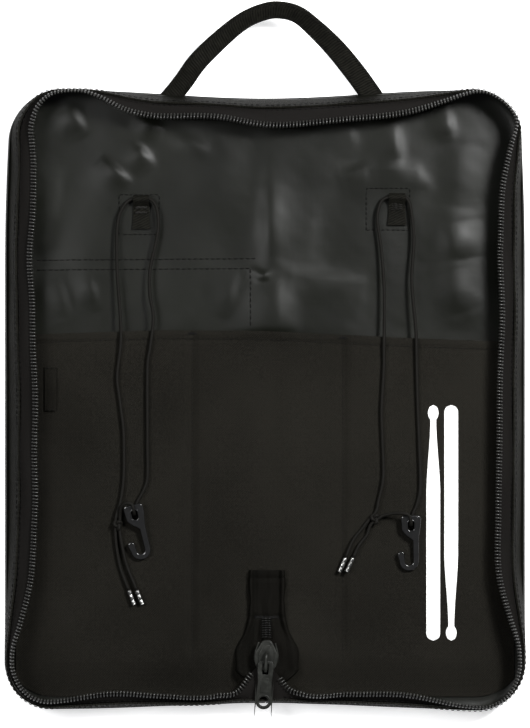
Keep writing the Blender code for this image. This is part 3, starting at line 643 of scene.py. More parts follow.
KNOTS = {"left": (-0.1112, -0.0942, 0.0158), "right": (0.0830, -0.0895, 0.0158)}
HOOK_LEAN = 5.0
HOOKS = {
    "left": {"eye": (-0.0985, -0.0850, 0.0178), "turn": 12.0},
    "right": {"eye": (0.1100, -0.0930, 0.0178), "turn": 0.0},
}


def ride_as(item, body, slot, *nodes):
    """The piece moves with a body and stands for the named CAD nodes, which it hides; slot is not used."""
    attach(item, body)
    if nodes:
        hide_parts(*nodes)
    return item


def make_knot(side, centre):
    """The elastic tied round itself: a tight three-lobed tangle."""
    turn = np.linspace(0, 2 * np.pi, 90)
    route = np.stack([
        0.00092 * (np.sin(turn) + 2 * np.sin(2 * turn)),
        0.00118 * (np.cos(turn) - 2 * np.cos(2 * turn)),
        -0.00130 * np.sin(3 * turn),
    ], -1)
    item = tube(f"{side}_tied_knot", route + np.asarray(centre), CORD_RADIUS * 1.06, 14, [CORD])
    return ride_as(item, f"{side}_half", "cord", f"{side}_knot")


def make_crimp(side, number, tail):
    """A pressed tin tip, pinched twice where the tool closed it."""
    end, before = np.asarray(tail[-1]), np.asarray(tail[-2])
    heading = unit((end - before) * (1, 1, 0))
    along = np.linspace(0, 1, 40)
    line = end + heading * (0.0006 + 0.0115 * along)[:, None]
    pinch = np.exp(-((along - 0.30) / 0.07) ** 2) + np.exp(-((along - 0.68) / 0.07) ** 2)
    radii = 0.00168 - 0.00028 * pinch + 0.00012 * (along > 0.95) - 0.0003 * (along < 0.04)
    item = tube(f"{side}_tin_tip_{number}", line, radii, 20, [TIN])
    return ride_as(item, f"{side}_half", "crimp_metal", f"{side}_crimp_{number}")


def make_elastic(side, route, tails):
    """The loop of elastic with its two short ends below the knot, as one length."""
    line = smooth_route([*tails[0][::-1], *route, *tails[1]], 0.0020)
    item = tube(f"{side}_elastic", line, CORD_RADIUS, 14, [CORD])
    nodes = [f"{side}_cord", f"{side}_tail_1", f"{side}_tail_2"]
    ride_as(item, f"{side}_half", "cord", *nodes)
    pieces = [make_knot(side, KNOTS[side])]
    pieces += [make_crimp(side, number, tail) for number, tail in enumerate(tails, start=1)]


def arc(cx, cy, radius, start, end, steps):
    turns = [math.radians(start + (end - start) * i / steps) for i in range(steps + 1)]
    return [(cx + radius * math.cos(a), cy + radius * math.sin(a)) for a in turns]


def placed(x, y, z, turn=0.0, lean=0.0):
    """Leaned about X, turned about Z, then moved, with angles in degrees."""
    move = Matrix.Translation((x, y + SHEET_Y, z))
    return move @ Matrix.Rotation(math.radians(turn), 4, "Z") @ Matrix.Rotation(math.radians(lean), 4, "X")


def plate(name, outlines, thickness, bevel, place, looks):
    """A flat outline with any holes as a plate with rounded rims, centred on the place given."""
    curve = bpy.data.curves.new(name, "CURVE")
    curve.dimensions = "2D"
    curve.fill_mode = "BOTH"
    curve.extrude = thickness / 2 - bevel
    curve.bevel_depth = bevel
    curve.bevel_resolution = 3
    curve.offset = -bevel
    for outline in outlines:
        line = curve.splines.new("POLY")
        line.points.add(len(outline) - 1)
        line.use_cyclic_u = True
        for point, (x, y) in zip(line.points, outline):
            point.co = (x, y, 0.0, 1.0)
    flat = bpy.data.objects.new(name, curve)
    bpy.context.scene.collection.objects.link(flat)
    bpy.context.view_layer.update()
    mesh = bpy.data.meshes.new_from_object(flat.evaluated_get(bpy.context.evaluated_depsgraph_get()))
    bpy.data.objects.remove(flat, do_unlink=True)
    mesh.transform(place)
    mesh.materials.clear()
    for look in looks:
        mesh.materials.append(look)
    mesh.polygons.foreach_set("use_smooth", [True] * len(mesh.polygons))
    mesh.set_sharp_from_angle(angle=math.radians(32))
    item = bpy.data.objects.new(name, mesh)
    bpy.context.scene.collection.objects.link(item)
    return item


def join(name, items):
    """Several pieces of one part as one mesh."""
    with bpy.context.temp_override(active_object=items[0], selected_editable_objects=items):
        bpy.ops.object.join()
    items[0].name = name
    return items[0]


def hook_outline(length):
    """A hook that hangs from its eye along -Y, with a wide head, a J-shaped end and a ball at the tip."""
    outer_radius, inner_radius, ball_radius = 0.0074, 0.0032, 0.00265
    bend_x, bend_y = -0.0012, outer_radius - length
    outer = [(-0.0075, 0.0034), (-0.0073, 0.0046), (-0.0066, 0.0056), (-0.0056, 0.0062)]
    outer += [(0.0056, 0.0062), (0.0066, 0.0056), (0.0073, 0.0046), (0.0075, 0.0034)]
    outer += [(0.0072, -0.0020), (0.0064, -0.0075), (0.0060, -0.0120)]
    outer += arc(bend_x, bend_y, outer_radius, 0, -180, 30)
    outer += arc(bend_x - 0.0062, bend_y + 0.0046, ball_radius, 190, -20, 16)
    outer += arc(bend_x, bend_y, inner_radius, -180, 0, 24)
    outer += [(0.0016, -0.0130), (-0.0004, -0.0112), (-0.0030, -0.0095), (-0.0052, -0.0072),
              (-0.0068, -0.0050)]
    slot = arc(0.0, 0.0, 0.0024, 0, 180, 14) + arc(0.0, -0.0030, 0.0024, 180, 360, 14)
    return outer, slot


def make_hook(side):
    x, y, z = HOOKS[side]["eye"]
    place = placed(x, y, z, HOOKS[side]["turn"], HOOK_LEAN)
    outer, slot = hook_outline(0.0360)
    body = plate("hook_body", [outer, slot], 0.0030, 0.0009, place, [PLASTIC])
    ring = [(px * 1.35, (py + 0.0015) * 1.25 - 0.0015) for px, py in slot]
    rim = plate("hook_rim", [ring, slot], 0.0040, 0.0005, place, [PLASTIC])
    return ride_as(join(f"{side}_cord_hook", [body, rim]), f"{side}_hook_body", "hook_plastic",
                   f"{side}_hook")


make_elastic("left", LEFT_CORD, LEFT_TAILS)
make_elastic("right", RIGHT_CORD, RIGHT_TAILS)
make_hook("left")
make_hook("right")


# ---------------------------------------------------------------- the sheet


SHEET_STEP = 0.0018
SHEET_THICKNESS = 0.0009

# folds in the coated sheet: both ends of the crest as (x, y), how wide it is on its steep side, how wide it is
# on its gentle side, and how high it is, all in mm; the steep side is on the left, going from the first end
SHEET_FOLDS = [
    ((-150, 222), (-139, 204), 5.0, 14.0, 2.4), ((-96, 212), (-80, 205), 4.0, 10.0, 2.2),
    ((-99, 192), (-87, 179), 4.5, 12.0, 2.2), ((-123, 181), (-105, 166), 4.0, 12.0, 2.6),
    ((5, 105), (5, 196), 9.0, 16.0, 1.9), ((4, 107), (4, 158), 8.0, 9.0, 1.4),
    ((5, 92), (10, 38), 14.5, 26.0, 4.9), ((22, 93), (71, 88), 7.0, 20.0, 1.9),
    ((96, 207), (100, 181), 6.0, 15.0, 2.1), ((136, 217), (140, 200), 5.0, 12.0, 1.9),
    ((149, 194), (146, 146), 17.0, 14.0, 2.7), ((142, 134), (146, 106), 18.0, 12.0, 3.1),
    ((150, 66), (140, 97), 12.0, 14.0, 2.6), ((-24, 96), (-31, 68), 6.0, 12.0, 1.7),
    ((-160, 92), (-152, 62), 7.0, 14.0, 1.9), ((-136, 92), (-129, 72), 5.0, 12.0, 1.3),
    ((60, 168), (78, 175), 6.0, 14.0, 1.6), ((78, 175), (114, 173), 6.0, 14.0, 1.8),
               ((114, 173), (124, 160), 6.0, 12.0, 0.9),
    ((-10, 99), (3, 92), 2.6, 3.6, 1.0), ((-6, 91), (4, 97), 2.4, 3.4, 0.8),
               ((-66, 200), (-42, 187), 7.0, 9.0, -1.8),
    ((-160, 170), (-166, 120), 7.0, 16.0, 1.2), ((36, 150), (30, 110), 8.0, 20.0, 0.9),
               ((60, 215), (66, 190), 6.0, 14.0, 1.0),
]


def smoothstep(value, low, high):
    t = np.clip((value - low) / (high - low), 0, 1)
    return t * t * (3 - 2 * t)


def folds(x, y, table):
    """Crests along short lines, highest in the middle and fading to their ends."""
    total = np.zeros(np.broadcast(x, y).shape)
    for (ax, ay), (bx, by), steep, gentle, height in table:
        along = np.array((bx - ax, by - ay)) / 1000
        length = np.linalg.norm(along)
        along = along / length
        down = (x - ax / 1000) * along[0] + (y - ay / 1000) * along[1]
        over = (y - ay / 1000) * along[0] - (x - ax / 1000) * along[1]
        part = np.clip(down / length, 0, 1)
        past = np.abs(down - part * length) / (0.8 * steep / 1000)
        swell = 0.4 + 0.6 * np.sin(np.pi * part)
        spread = over / np.where(over > 0, steep, gentle) * 1000
        total = total + height / 1000 * swell * np.exp(-spread ** 2 - past ** 2)
    return total


def edge_gap(x, y):
    """Roughly how far inside the sheet's edge a point lies."""
    gap_x = HALF_WIDTH * (1 - 0.02 * smoothstep(y, 0.1, 0.235)) - np.abs(x)
    gap_y = HALF_LENGTH - 0.005 * np.cos(np.pi * np.clip(x, -0.15, 0.15) / 0.3) ** 2 - np.abs(y)
    corner = np.hypot(np.maximum(0, CORNER_RADIUS - gap_x), np.maximum(0, CORNER_RADIUS - gap_y))
    return CORNER_RADIUS - np.maximum(corner, CORNER_RADIUS - np.minimum(gap_x, gap_y))


def sheet_top(x, y):
    """Height of the sheet's upper face: nearly flat, with soft folds, turning up where it meets the wall."""
    open_area = smoothstep(y, 0.040, 0.056)
    sag = 0.0007 * ripple(x, y, 3) * (0.35 + 0.65 * open_area)
    crinkle = 0.00004 * ripple(5 * x, 5 * y, 8) * open_area
    rim = 0.0040 * np.exp(-np.maximum(edge_gap(x, y), 0) / 0.0035)
    return SHELL_TOP + sag + crinkle + rim + open_area * folds(x, y, SHEET_FOLDS)


def half_grid(side, step):
    """Points over one half of the rounded sheet, from its side edge to the middle."""
    sign = -1 if side == "left" else 1
    straight = HALF_LENGTH - CORNER_RADIUS
    rows = np.linspace(-HALF_LENGTH + 0.0016, HALF_LENGTH - 0.0016, math.ceil(2 * HALF_LENGTH / step))
    over = np.maximum(0, np.abs(rows) - straight)
    reach = HALF_WIDTH - 0.0014 - CORNER_RADIUS + np.sqrt(np.maximum(0, CORNER_RADIUS ** 2 - over ** 2))
    part = np.linspace(1, 0, math.ceil(HALF_WIDTH / step))
    x = sign * reach[:, None] * part[None, :]
    y = np.repeat(rows[:, None], len(part), 1)
    end = np.where(np.abs(x) < 0.15, np.cos(np.pi * x / 0.3) ** 2, 0.0)
    y = y - 0.0060 * end * smoothstep(y, 0.08, 0.197) + 0.0046 * end * smoothstep(-y, 0.08, 0.197)
    x = x * (1 - 0.025 * (np.maximum(0.0, y - 0.1) / 0.135) ** 2)
    return x, y


def make_sheet_half(side):
    x, y = half_grid(side, SHEET_STEP)
    z = sheet_top(x, y) - SHEET_THICKNESS / 2
    rows, columns = x.shape
    faces = grid_faces(rows, columns)
    if side == "right":
        faces = faces[:, ::-1]
    item = add_mesh(f"{side}_sheet", np.stack([x, y, z], -1), faces, [COATING, NYLON_OUT],
                    np.stack([x, y], -1).reshape(-1, 2))
    thicken(item, SHEET_THICKNESS, 0.0, under=1)
    over_fold(item, side)
    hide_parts(f"{side}_shell", *(["spine_shell"] if side == "left" else []))


make_sheet_half("left")
make_sheet_half("right")


# ---------------------------------------------------------------- the wall: webbing, tape and teeth


def wall_range(side, step, start=0.0):
    """Distances along the edge for one half, from the slider to the middle of the far end."""
    if side == "left":
        return np.arange(start, EDGE_MIDDLE + step / 2, step)
    return np.arange(EDGE_MIDDLE, EDGE_LENGTH - start, step)


def wall_lines(distance):
    """The wall's foot, seam and teeth, as points, with small waves in the cloth."""
    seam_in, teeth_in, teeth_up = (station(distance, column) for column in (1, 2, 3))
    wave = 0.0005 * np.sin(distance * 62 + 1.3 * np.sin(distance * 17))
    foot = at_inset(distance, 0.0004 + 0 * distance, 0.0008 + 0 * distance)
    seam_in = seam_in + wave * 0.7
    seam = at_inset(distance, seam_in, np.sqrt(np.maximum(WALL_WEBBING ** 2 - seam_in ** 2, 0)))
    teeth = at_inset(distance, teeth_in + wave, teeth_up + 0.3 * wave)
    return foot, seam, teeth


def wall_nodes(side, part):
    near = f"spine_near_{side}_{part}"
    return [f"{side}_{part}", near] + ([f"spine_far_{part}"] if side == "left" else [])


def make_webbing_wall(side):
    """Webbing sewn to the sheet's edge: it bulges outwards as it rises, and its ribs stand proud."""
    distance = wall_range(side, 0.0005)
    foot, seam, _ = wall_lines(distance)
    _, inwards = edge_at(distance)
    inwards = np.concatenate([inwards, np.zeros((len(inwards), 1))], -1)
    rows = []
    parts = np.linspace(0, 1, 13)
    for part in parts:
        rib = np.abs(np.sin(np.pi * (distance + 0.5 * part * WALL_WEBBING) / RIB_PITCH))
        bulge = 0.0005 * np.sin(np.pi * part) * (0.8 + 0.4 * np.sin(distance * 31 + 1.0))
        edge_round = 0.7 * math.exp(-((1 - part) / 0.04) ** 2) + 0.7 * math.exp(-(part / 0.04) ** 2)
        out = bulge + 0.00022 * rib * (1 - edge_round)
        point = foot + (seam - foot) * part - inwards * out[:, None]
        point[:, 2] += 0.0006 * np.sin(distance * 90 + 2) * part
        rows.append(point)
    grid = np.stack(rows, 1)
    cloth = np.stack([np.repeat(distance[:, None], 13, 1),
                      np.repeat(parts[None] * WALL_WEBBING, len(distance), 0)], -1)
    item = add_mesh(f"{side}_wall_webbing", grid, grid_faces(len(distance), 13), [WEBBING],
                    cloth.reshape(-1, 2))
    thicken(item, 0.0013)
    over_fold(item, side)
    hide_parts(*wall_nodes(side, "gusset"))


def tape_rows(distance):
    """Where the tape starts inside the webbing, and where it ends under the teeth."""
    foot, seam, teeth = wall_lines(distance)
    _, inwards = edge_at(distance)
    inwards = np.concatenate([inwards, np.zeros((len(inwards), 1))], -1)
    start = seam + (foot - seam) * 0.10 + inwards * 0.0011
    over = unit(teeth - start)
    return start, teeth, over


def make_tape(side):
    distance = wall_range(side, 0.0012)
    start, teeth, over = tape_rows(distance)
    rise = np.array((0, 0, 1.0))
    rows = []
    parts = np.linspace(0, 1, 9)
    for part in parts:
        point = start + (teeth + over * 0.0006 - start) * part
        sag = 0.0007 * np.sin(np.pi * part) * (0.6 + np.sin(distance * 55 + 0.7))
        rows.append(point + rise * (sag - 0.0011 * part)[:, None])
    grid = np.stack(rows, 1)
    width = np.linalg.norm(teeth - start, axis=-1)
    cloth = np.stack([np.repeat(distance[:, None], 9, 1), parts[None] * width[:, None]], -1).reshape(-1, 2)
    item = add_mesh(f"{side}_tape", grid, grid_faces(len(distance), 9), [TAPE], cloth)
    thicken(item, 0.0007)
    over_fold(item, side)
    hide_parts(*wall_nodes(side, "zip_tape"))


def coil(name, line, across, half_width, half_height, wire, pitch, look, face=1):
    """The upper side of a zip's nylon coil: a bent wire for each tooth, with a thick head where it meshes."""
    along = unit(np.gradient(line, axis=0))
    across = unit(across - along * np.sum(across * along, axis=1, keepdims=True))
    up = np.cross(along, across)
    up = np.where(up[:, 2:] < 0, -up, up) * face
    run = np.concatenate([[0.0], np.cumsum(np.linalg.norm(np.diff(line, axis=0), axis=1))])
    turn = np.radians((-35, 0, 30, 60, 90, 120, 150, 180, 205))
    wide = np.sign(np.cos(turn)) * np.abs(np.cos(turn)) ** 0.7 * half_width
    high = np.sign(np.sin(turn)) * np.abs(np.sin(turn)) ** 0.8 * half_height
    radii = wire * (1 + 0.35 * np.clip(np.cos(turn), 0, 1) ** 3)
    slant = np.linspace(-0.12, 0.12, len(turn)) * pitch
    all_points, all_faces, all_cloth = [], [], []
    first = 0
    for at in np.arange(pitch / 2, run[-1], pitch):
        middle, sideways, upwards, ahead = (
            np.array([np.interp(at, run, values[:, i]) for i in range(3)]) for values in (line, across,
                up, along)
        )
        bent = middle + np.outer(wide, sideways) + np.outer(high, upwards) + np.outer(slant, ahead)
        body, faces, cloth = tube_parts(bent, radii, 7, first)
        all_points.append(body)
        all_faces += faces
        all_cloth.append(cloth)
        first += len(body)
    return add_mesh(name, np.vstack(all_points), all_faces, [look], np.vstack(all_cloth))


def make_teeth_row(side):
    distance = wall_range(side, 0.0012, 0.0095)
    _, teeth, over = tape_rows(distance)
    item = coil(f"{side}_coil", teeth, over, 0.0019, 0.00120, 0.00060, TOOTH_PITCH, TEETH)
    over_fold(item, side)
    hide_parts(*wall_nodes(side, "zip_chain"))
    rise = np.array((0, 0, 0.00128))
    back = teeth - over * 0.0010 + rise
    row = stitches(f"{side}_coil_thread", [back], THREAD, 0.0016, 0.0004, 0.00018)
    over_fold(row, side)


def make_wall_stitches(side):
    """The seam that holds the tape inside the webbing's upper edge."""
    distance = wall_range(side, 0.0012, 0.012)
    foot, seam, _ = wall_lines(distance)
    _, inwards = edge_at(distance)
    inwards = np.concatenate([inwards, np.zeros((len(inwards), 1))], -1)
    outer = seam + (foot - seam) * 0.09 - inwards * 0.0014
    start, _, over = tape_rows(distance)
    inner = start + over * 0.0016
    inner[:, 2] += 0.0005
    row = stitches(f"{side}_wall_stitches", [outer, inner], THREAD, 0.0027, 0.0015, 0.00030)
    over_fold(row, side)


for half in ("left", "right"):
    make_webbing_wall(half)
    make_tape(half)
    make_teeth_row(half)
    make_wall_stitches(half)


# ---------------------------------------------------------------- the pockets


POCKET_BOTTOM = -0.2250
POCKET_SIDES = (-0.1890, 0.1890)
HEM = 0.0062
SEAMS = (-0.0550, 0.0590)
MOUTH = ((-172, 49.7), (-79, 52.6), (-55, 52.4), (-20, 52.2), (0, 52.0), (59, 49.2), (110, 46.6),
         (174, 44.2))

# folds in the pocket panel, as for the sheet
POCKET_FOLDS = [
    ((24, 44), (22, -130), 14.0, 12.0, 1.4), ((4, 46), (6, -80), 9.0, 9.0, -1.2),
                ((-60, 46), (-66, 22), 5.0, 6.0, 0.6),
    ((64, 44), (70, 20), 5.0, 6.0, 0.6), ((-30, -120), (-14, -178), 8.0, 9.0, 0.9),
                ((38, -118), (20, -180), 8.0, 9.0, 0.9),
    ((-160, -150), (-140, -196), 8.0, 12.0, 0.8), ((158, -150), (140, -196), 8.0, 12.0, 0.8),
    ((-150, 20), (-120, -20), 12.0, 14.0, 0.5), ((-40, 30), (-30, -60), 14.0, 18.0, 0.5),
                ((40, -20), (60, -90), 14.0, 18.0, 0.4),
    ((-140, -110), (-90, -150), 12.0, 18.0, 0.7), ((-60, -150), (-40, -190), 9.0, 14.0, 0.8),
]


def mouth_y(x):
    mouth = np.array(MOUTH) / 1000
    return np.interp(x, mouth[:, 0], mouth[:, 1])


def pocket_top(x, y):
    """Height of the pocket panel's upper face."""
    rise = smoothstep(edge_gap(x, y), 0.006, 0.042)
    top = sheet_top(x, y) + 0.0012 + 0.0052 * rise
    for seam in SEAMS:
        tight = smoothstep(y, -0.205, -0.18)
        top = top - 0.0020 * tight * np.exp(-((x - seam) / 0.0032) ** 2)
        top = top - 0.0009 * tight * np.exp(-((x - seam) / 0.0130) ** 2)
    below = mouth_y(x) - y
    top = top + 0.0005 * smoothstep(-below, -HEM - 0.0006,
                                    -HEM + 0.0012) - 0.0004 * np.exp(-((below - HEM) / 0.0012) ** 2)
    loose = 0.00035 * ripple(x, y, 21) * rise * smoothstep(below, 0.004, 0.03)
    return top + loose + rise * folds(x, y, POCKET_FOLDS)


def make_pocket_half(side):
    low, high = (POCKET_SIDES[0], 0.0) if side == "left" else (0.0, POCKET_SIDES[1])
    across = np.linspace(low, high, 118)
    up = np.linspace(0, 1, 172)
    bottom = POCKET_BOTTOM + (CORNER_RADIUS - np.sqrt(np.maximum(0, CORNER_RADIUS ** 2 - np.maximum(
        0, np.abs(across) - 0.0085 - (HALF_WIDTH - 0.0085 - CORNER_RADIUS)) ** 2)))
    x = np.repeat(across[None], len(up), 0)
    y = bottom + up[:, None] * (mouth_y(x) - bottom)
    z = pocket_top(x, y) - 0.0005
    z[-1] -= 0.0003
    item = add_mesh(f"{side}_panel", np.stack([x, y, z], -1), grid_faces(*x.shape), [NYLON],
                    np.stack([x, y], -1).reshape(-1, 2))
    thicken(item, 0.0010)
    over_fold(item, side)
    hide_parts(f"{side}_pocket", *(["centre_pocket"] if side == "left" else []))


def on_top(height, points, lift=0.0):
    """A line of (x, y) points laid on a surface, with a point about every two millimetres."""
    points = np.asarray(points, float)
    flat = respace(np.hstack([points, np.zeros((len(points), 1))]), 0.002)
    flat[:, 2] = height(flat[:, 0], flat[:, 1]) + lift
    return flat


def sewn(name, paths, body, height, slot="nylon", **thread):
    item = stitches(name, [on_top(height, path) for path in paths], THREAD, **thread)
    if body in ("left", "right"):
        over_fold(item, body)
    else:
        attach(item, body)
    return item


def bar_tack(x, y, width, height, rows):
    """A dense zigzag of thread that holds a corner."""
    points = []
    for i in range(rows * 2 + 1):
        points.append((x + (width / 2 if i % 2 else -width / 2), y + height * (i / (rows * 2) - 0.5)))
    return points


def make_pocket_sewing():
    for side, low, high in (("left", POCKET_SIDES[0] + 0.004, -0.0005),
                            ("right", 0.0005, POCKET_SIDES[1] - 0.004)):
        x = np.linspace(low, high, 60)
        hem = np.stack([x, mouth_y(x) - HEM], -1)
        sewn(f"{side}_hem_stitches", [hem], side, pocket_top, radius=0.00022)
    for side, seam in zip(("left", "right"), SEAMS):
        top = float(mouth_y(seam)) - 0.001
        sewn(f"{side}_pocket_seam", [[(seam, top), (seam, POCKET_BOTTOM + 0.012)]], side, pocket_top,
             radius=0.00024)
        tack = stitches(f"{side}_pocket_tack",
                        [on_top(pocket_top, bar_tack(seam, top - 0.0012, 0.0070, 0.0016, 5))],
                        THREAD, 0.0034, 0.0001, 0.00026)
        over_fold(tack, side)


for half in ("left", "right"):
    make_pocket_half(half)
make_pocket_sewing()


# ---------------------------------------------------------------- webbing loops and sewing on the coated sheet


LOOPS = {"left": (-0.0938, 0.1520, 0.1302, 0.0120), "right": (0.1000, 0.1535, 0.1330, 0.0126)}
LOOP_EYE_Z = 0.0099
PATCHES = {"left": (-0.1107, -0.0802, 0.1254, 0.1555), "right": (0.0768, 0.1099, 0.1288, 0.1604)}


def make_cord_strap(side):
    """A short strap folded round the cord, its two layers sewn down to the sheet."""
    x, eye_y, tail_y, width = LOOPS[side]
    floor_z = float(sheet_top(np.array(x), np.array(tail_y))) + 0.0004
    profile = [(tail_y, floor_z + 0.0003), (tail_y + 0.006, floor_z + 0.0001),
               (eye_y - 0.003, floor_z + 0.0002)]
    profile += [(eye_y + 0.0024 * math.cos(a),
                 LOOP_EYE_Z + 0.0024 * math.sin(a)) for a in np.radians(range(-60, 145, 12))]
    profile += [(eye_y - 0.0052, floor_z + 0.0018), (eye_y - 0.0100, floor_z + 0.0013),
                (tail_y - 0.0008, floor_z + 0.0015)]
    line = respace(np.array([(x, y, z) for y, z in profile]), 0.0006)
    run = np.arange(len(line)) * 0.0006
    parts = np.linspace(-0.5, 0.5, 9)
    grid, cloth = [], []
    for part in parts:
        row = line.copy()
        row[:, 0] += width * part * (1 + 0.12 * np.exp(-((line[:, 1] - tail_y) / 0.004) ** 2))
        row[:, 2] -= 0.0003 * (2 * part) ** 4
        grid.append(row)
        cloth.append(np.stack([run, np.full(len(run), (part + 0.5) * width)], -1))
    item = add_mesh(f"{side}_cord_strap", np.stack(grid, 1), grid_faces(len(line), 9), [WEBBING],
                    np.stack(cloth, 1).reshape(-1, 2))
    thicken(item, 0.0009)
    ride_as(item, f"{side}_half", "webbing", f"{side}_cord_loop")
    top = floor_z + 0.0024

    def strap_top(px, py):
        return np.full(np.shape(px), top)

    tacks = [bar_tack(x, eye_y - 0.0062, width * 0.86, 0.0016, 4),
             bar_tack(x, eye_y - 0.0100, width * 0.86, 0.0014, 4)]
    if side == "right":
        tacks = [bar_tack(x, eye_y - 0.0066, width * 0.80, 0.0062, 4)]
    rows = [on_top(strap_top, tack) for tack in tacks]
    thread = stitches(f"{side}_strap_tacks", rows, THREAD_LIGHT, 0.0034, 0.0001, 0.00030)
    ride_as(thread, f"{side}_half", "webbing")
    left, right, low, high = PATCHES[side]
    box = [(left, low), (left, high), (right, high), (right, low), (left, low)]
    sewn(f"{side}_strap_patch", [box], f"{side}_half", sheet_top, "coated_nylon", radius=0.00036,
         length=0.0024)


THREAD_LIGHT = make_thread("thread_light", (0.010, 0.0096, 0.0086))
make_cord_strap("left")
make_cord_strap("right")
OUTER_ROWS = [
    [(-0.1730, 0.1058), (-0.0900, 0.1064), (-0.0040, 0.1072)],
    [(-0.1730, 0.0984), (-0.0900, 0.0990), (-0.0113, 0.0996)],
    [(-0.0113, 0.0990), (-0.0110, 0.0540)],
]
sewn("left_outer_sewing", OUTER_ROWS, "left", sheet_top, "coated_nylon", radius=0.00040, length=0.0030)


# ---------------------------------------------------------------- the slider, its pull and the flap under it


SLIDER = (0.0010, -0.1920, 0.0212)
SLIDER_TURN = -3.5
PULL_BACK = 0.0050
PULL_LIFT = 0.0063


def shield(half_width, half_length):
    """A slider's plan: broad and round where the two rows of teeth enter, narrow where they leave closed."""
    turn = np.linspace(0, 2 * np.pi, 72, endpoint=False)
    y = half_length * np.sign(np.sin(turn)) * np.abs(np.sin(turn)) ** 0.75
    taper = 1 - 0.36 * smoothstep(y, -0.1 * half_length, 0.9 * half_length)
    x = half_width * taper * np.sign(np.cos(turn)) * np.abs(np.cos(turn)) ** 0.6
    return list(zip(x.tolist(), y.tolist()))


def local_tube(name, points, radii, sides, place, look):
    """A round bar along points given in a part's own frame."""
    moved = np.array([place @ Vector(p) for p in points]) - (0.0, SHEET_Y, 0.0)
    return tube(name, smooth_route(moved, 0.0005), radii, sides, [look])


def make_slider():
    place = placed(*SLIDER, SLIDER_TURN)
    upper = plate("upper", [shield(0.0088, 0.0112)], 0.0016, 0.0006,
                  place @ Matrix.Translation((0, 0, 0.0023)), [ENAMEL])
    lower = plate("lower", [shield(0.0088, 0.0112)], 0.0014, 0.0005,
                  place @ Matrix.Translation((0, 0, -0.0023)), [ENAMEL])
    raised = plate("raised", [shield(0.0060, 0.0084)], 0.0010, 0.00045,
                   place @ Matrix.Translation((0, 0, 0.0033)), [ENAMEL])
    post = plate("post", [shield(0.0028, 0.0050)], 0.0040, 0.0003,
                 place @ Matrix.Translation((0, 0.0045, 0)), [ENAMEL])
    rims = []
    for side in (-1, 1):
        line = [(side * 0.0083, -0.0050, 0.0012), (side * 0.0086, 0.0, 0.0012),
                (side * 0.0074, 0.0055, 0.0012),
                (side * 0.0062, 0.0095, 0.0012)]
        rims.append(local_tube("rim", line, 0.0007, 10, place, ENAMEL))
    bridge_line = [(0, 0.0022, 0.0030), (0, 0.0018, 0.0068), (0, -0.0004, 0.0085), (0, -0.0050, 0.0088),
                   (0, -0.0095, 0.0085), (0, -0.0112, 0.0068), (0, -0.0112, 0.0030)]
    bridge = local_tube("bridge", bridge_line, 0.00125, 12, place, ENAMEL)
    ride_as(join("zip_slider", [upper, lower, raised, post, *rims, bridge]), "slider", "slider_metal",
            "main_slider")


def pull_outline(width, length):
    """A pull that hangs along -Y: a square shoulder at the top, slightly waisted, with a round end."""
    half = width / 2
    outline = [(half * 0.75, 0.0012), (-half * 0.75, 0.0012), (-half * 0.95, -0.0006), (-half, -0.0040)]
    outline += [(-half * 0.86, -0.0150), (-half, half - length - 0.0010)]
    outline += arc(0, half - length, half, 180, 360, 26)
    return outline + [(half, half - length - 0.0010 + 0.0002), (half * 0.86, -0.0150), (half, -0.0040),
                      (half * 0.95, -0.0006)]


def make_pull():
    place = placed(*SLIDER, SLIDER_TURN) @ Matrix.Translation((0, -PULL_BACK, PULL_LIFT - 0.0008))
    eye = [(-0.0022, -0.0008), (-0.0022, -0.0088), (0.0022, -0.0088), (0.0022, -0.0008)]
    hole = arc(0.0, 0.0061 - 0.0350, 0.0041, 0, 350, 30)
    flat = plate("flat", [pull_outline(0.0122, 0.0350), eye, hole], 0.0015, 0.00045, place, [ENAMEL])
    ring = [(x * 1.28, 0.0061 - 0.0350 + (y - 0.0061 + 0.0350) * 1.28) for x, y in hole]
    lip = plate("lip", [ring, hole], 0.0022, 0.0004, place, [ENAMEL])
    middle = [(-0.0030, -0.0112), (-0.0030, -0.0225), (0.0030, -0.0225), (0.0030, -0.0112)]
    panel = plate("panel", [middle], 0.0020, 0.0004, place, [ENAMEL])
    ride_as(join("zip_pull", [flat, lip, panel]), "slider_pull", "slider_metal", "main_pull")


def garage_half(y):
    """Half the flap's width: straight, then flaring out round the slider."""
    return 0.0133 + 0.0106 * smoothstep(-y, 0.160, 0.196) - 0.0130 * smoothstep(-y, 0.203, 0.216)


def garage_top(x, y):
    """Height of the flap: a puckered fold of nylon with raised edges."""
    across = (x - 0.0015) / garage_half(y)
    top = 0.0150 + 0.0018 * smoothstep(-y, 0.17, 0.205)
    top = top + 0.0026 * np.exp(-((np.abs(across) - 0.90) / 0.10) ** 2) * smoothstep(y, -0.196, -0.160)
    top = top - 0.0012 * np.exp(-((np.abs(across) - 0.66) / 0.12) ** 2)
    top = top + 0.0010 * np.exp(-((across - 0.25) / 0.16) ** 2)
    pucker = 0.0009 * np.sin(across * 9 + 1.2) * np.exp(-((y + 0.1560) / 0.0075) ** 2)
    drape = 0.0009 * np.sin(across * 6.5 + y * 150) * smoothstep(-y, 0.155, 0.185)
    pinch = 0.0011 * np.exp(-((y + 0.1345) / 0.0018) ** 2) + 0.0010 * np.exp(-((y + 0.1640) / 0.0020) ** 2)
    return top + pucker + drape - pinch


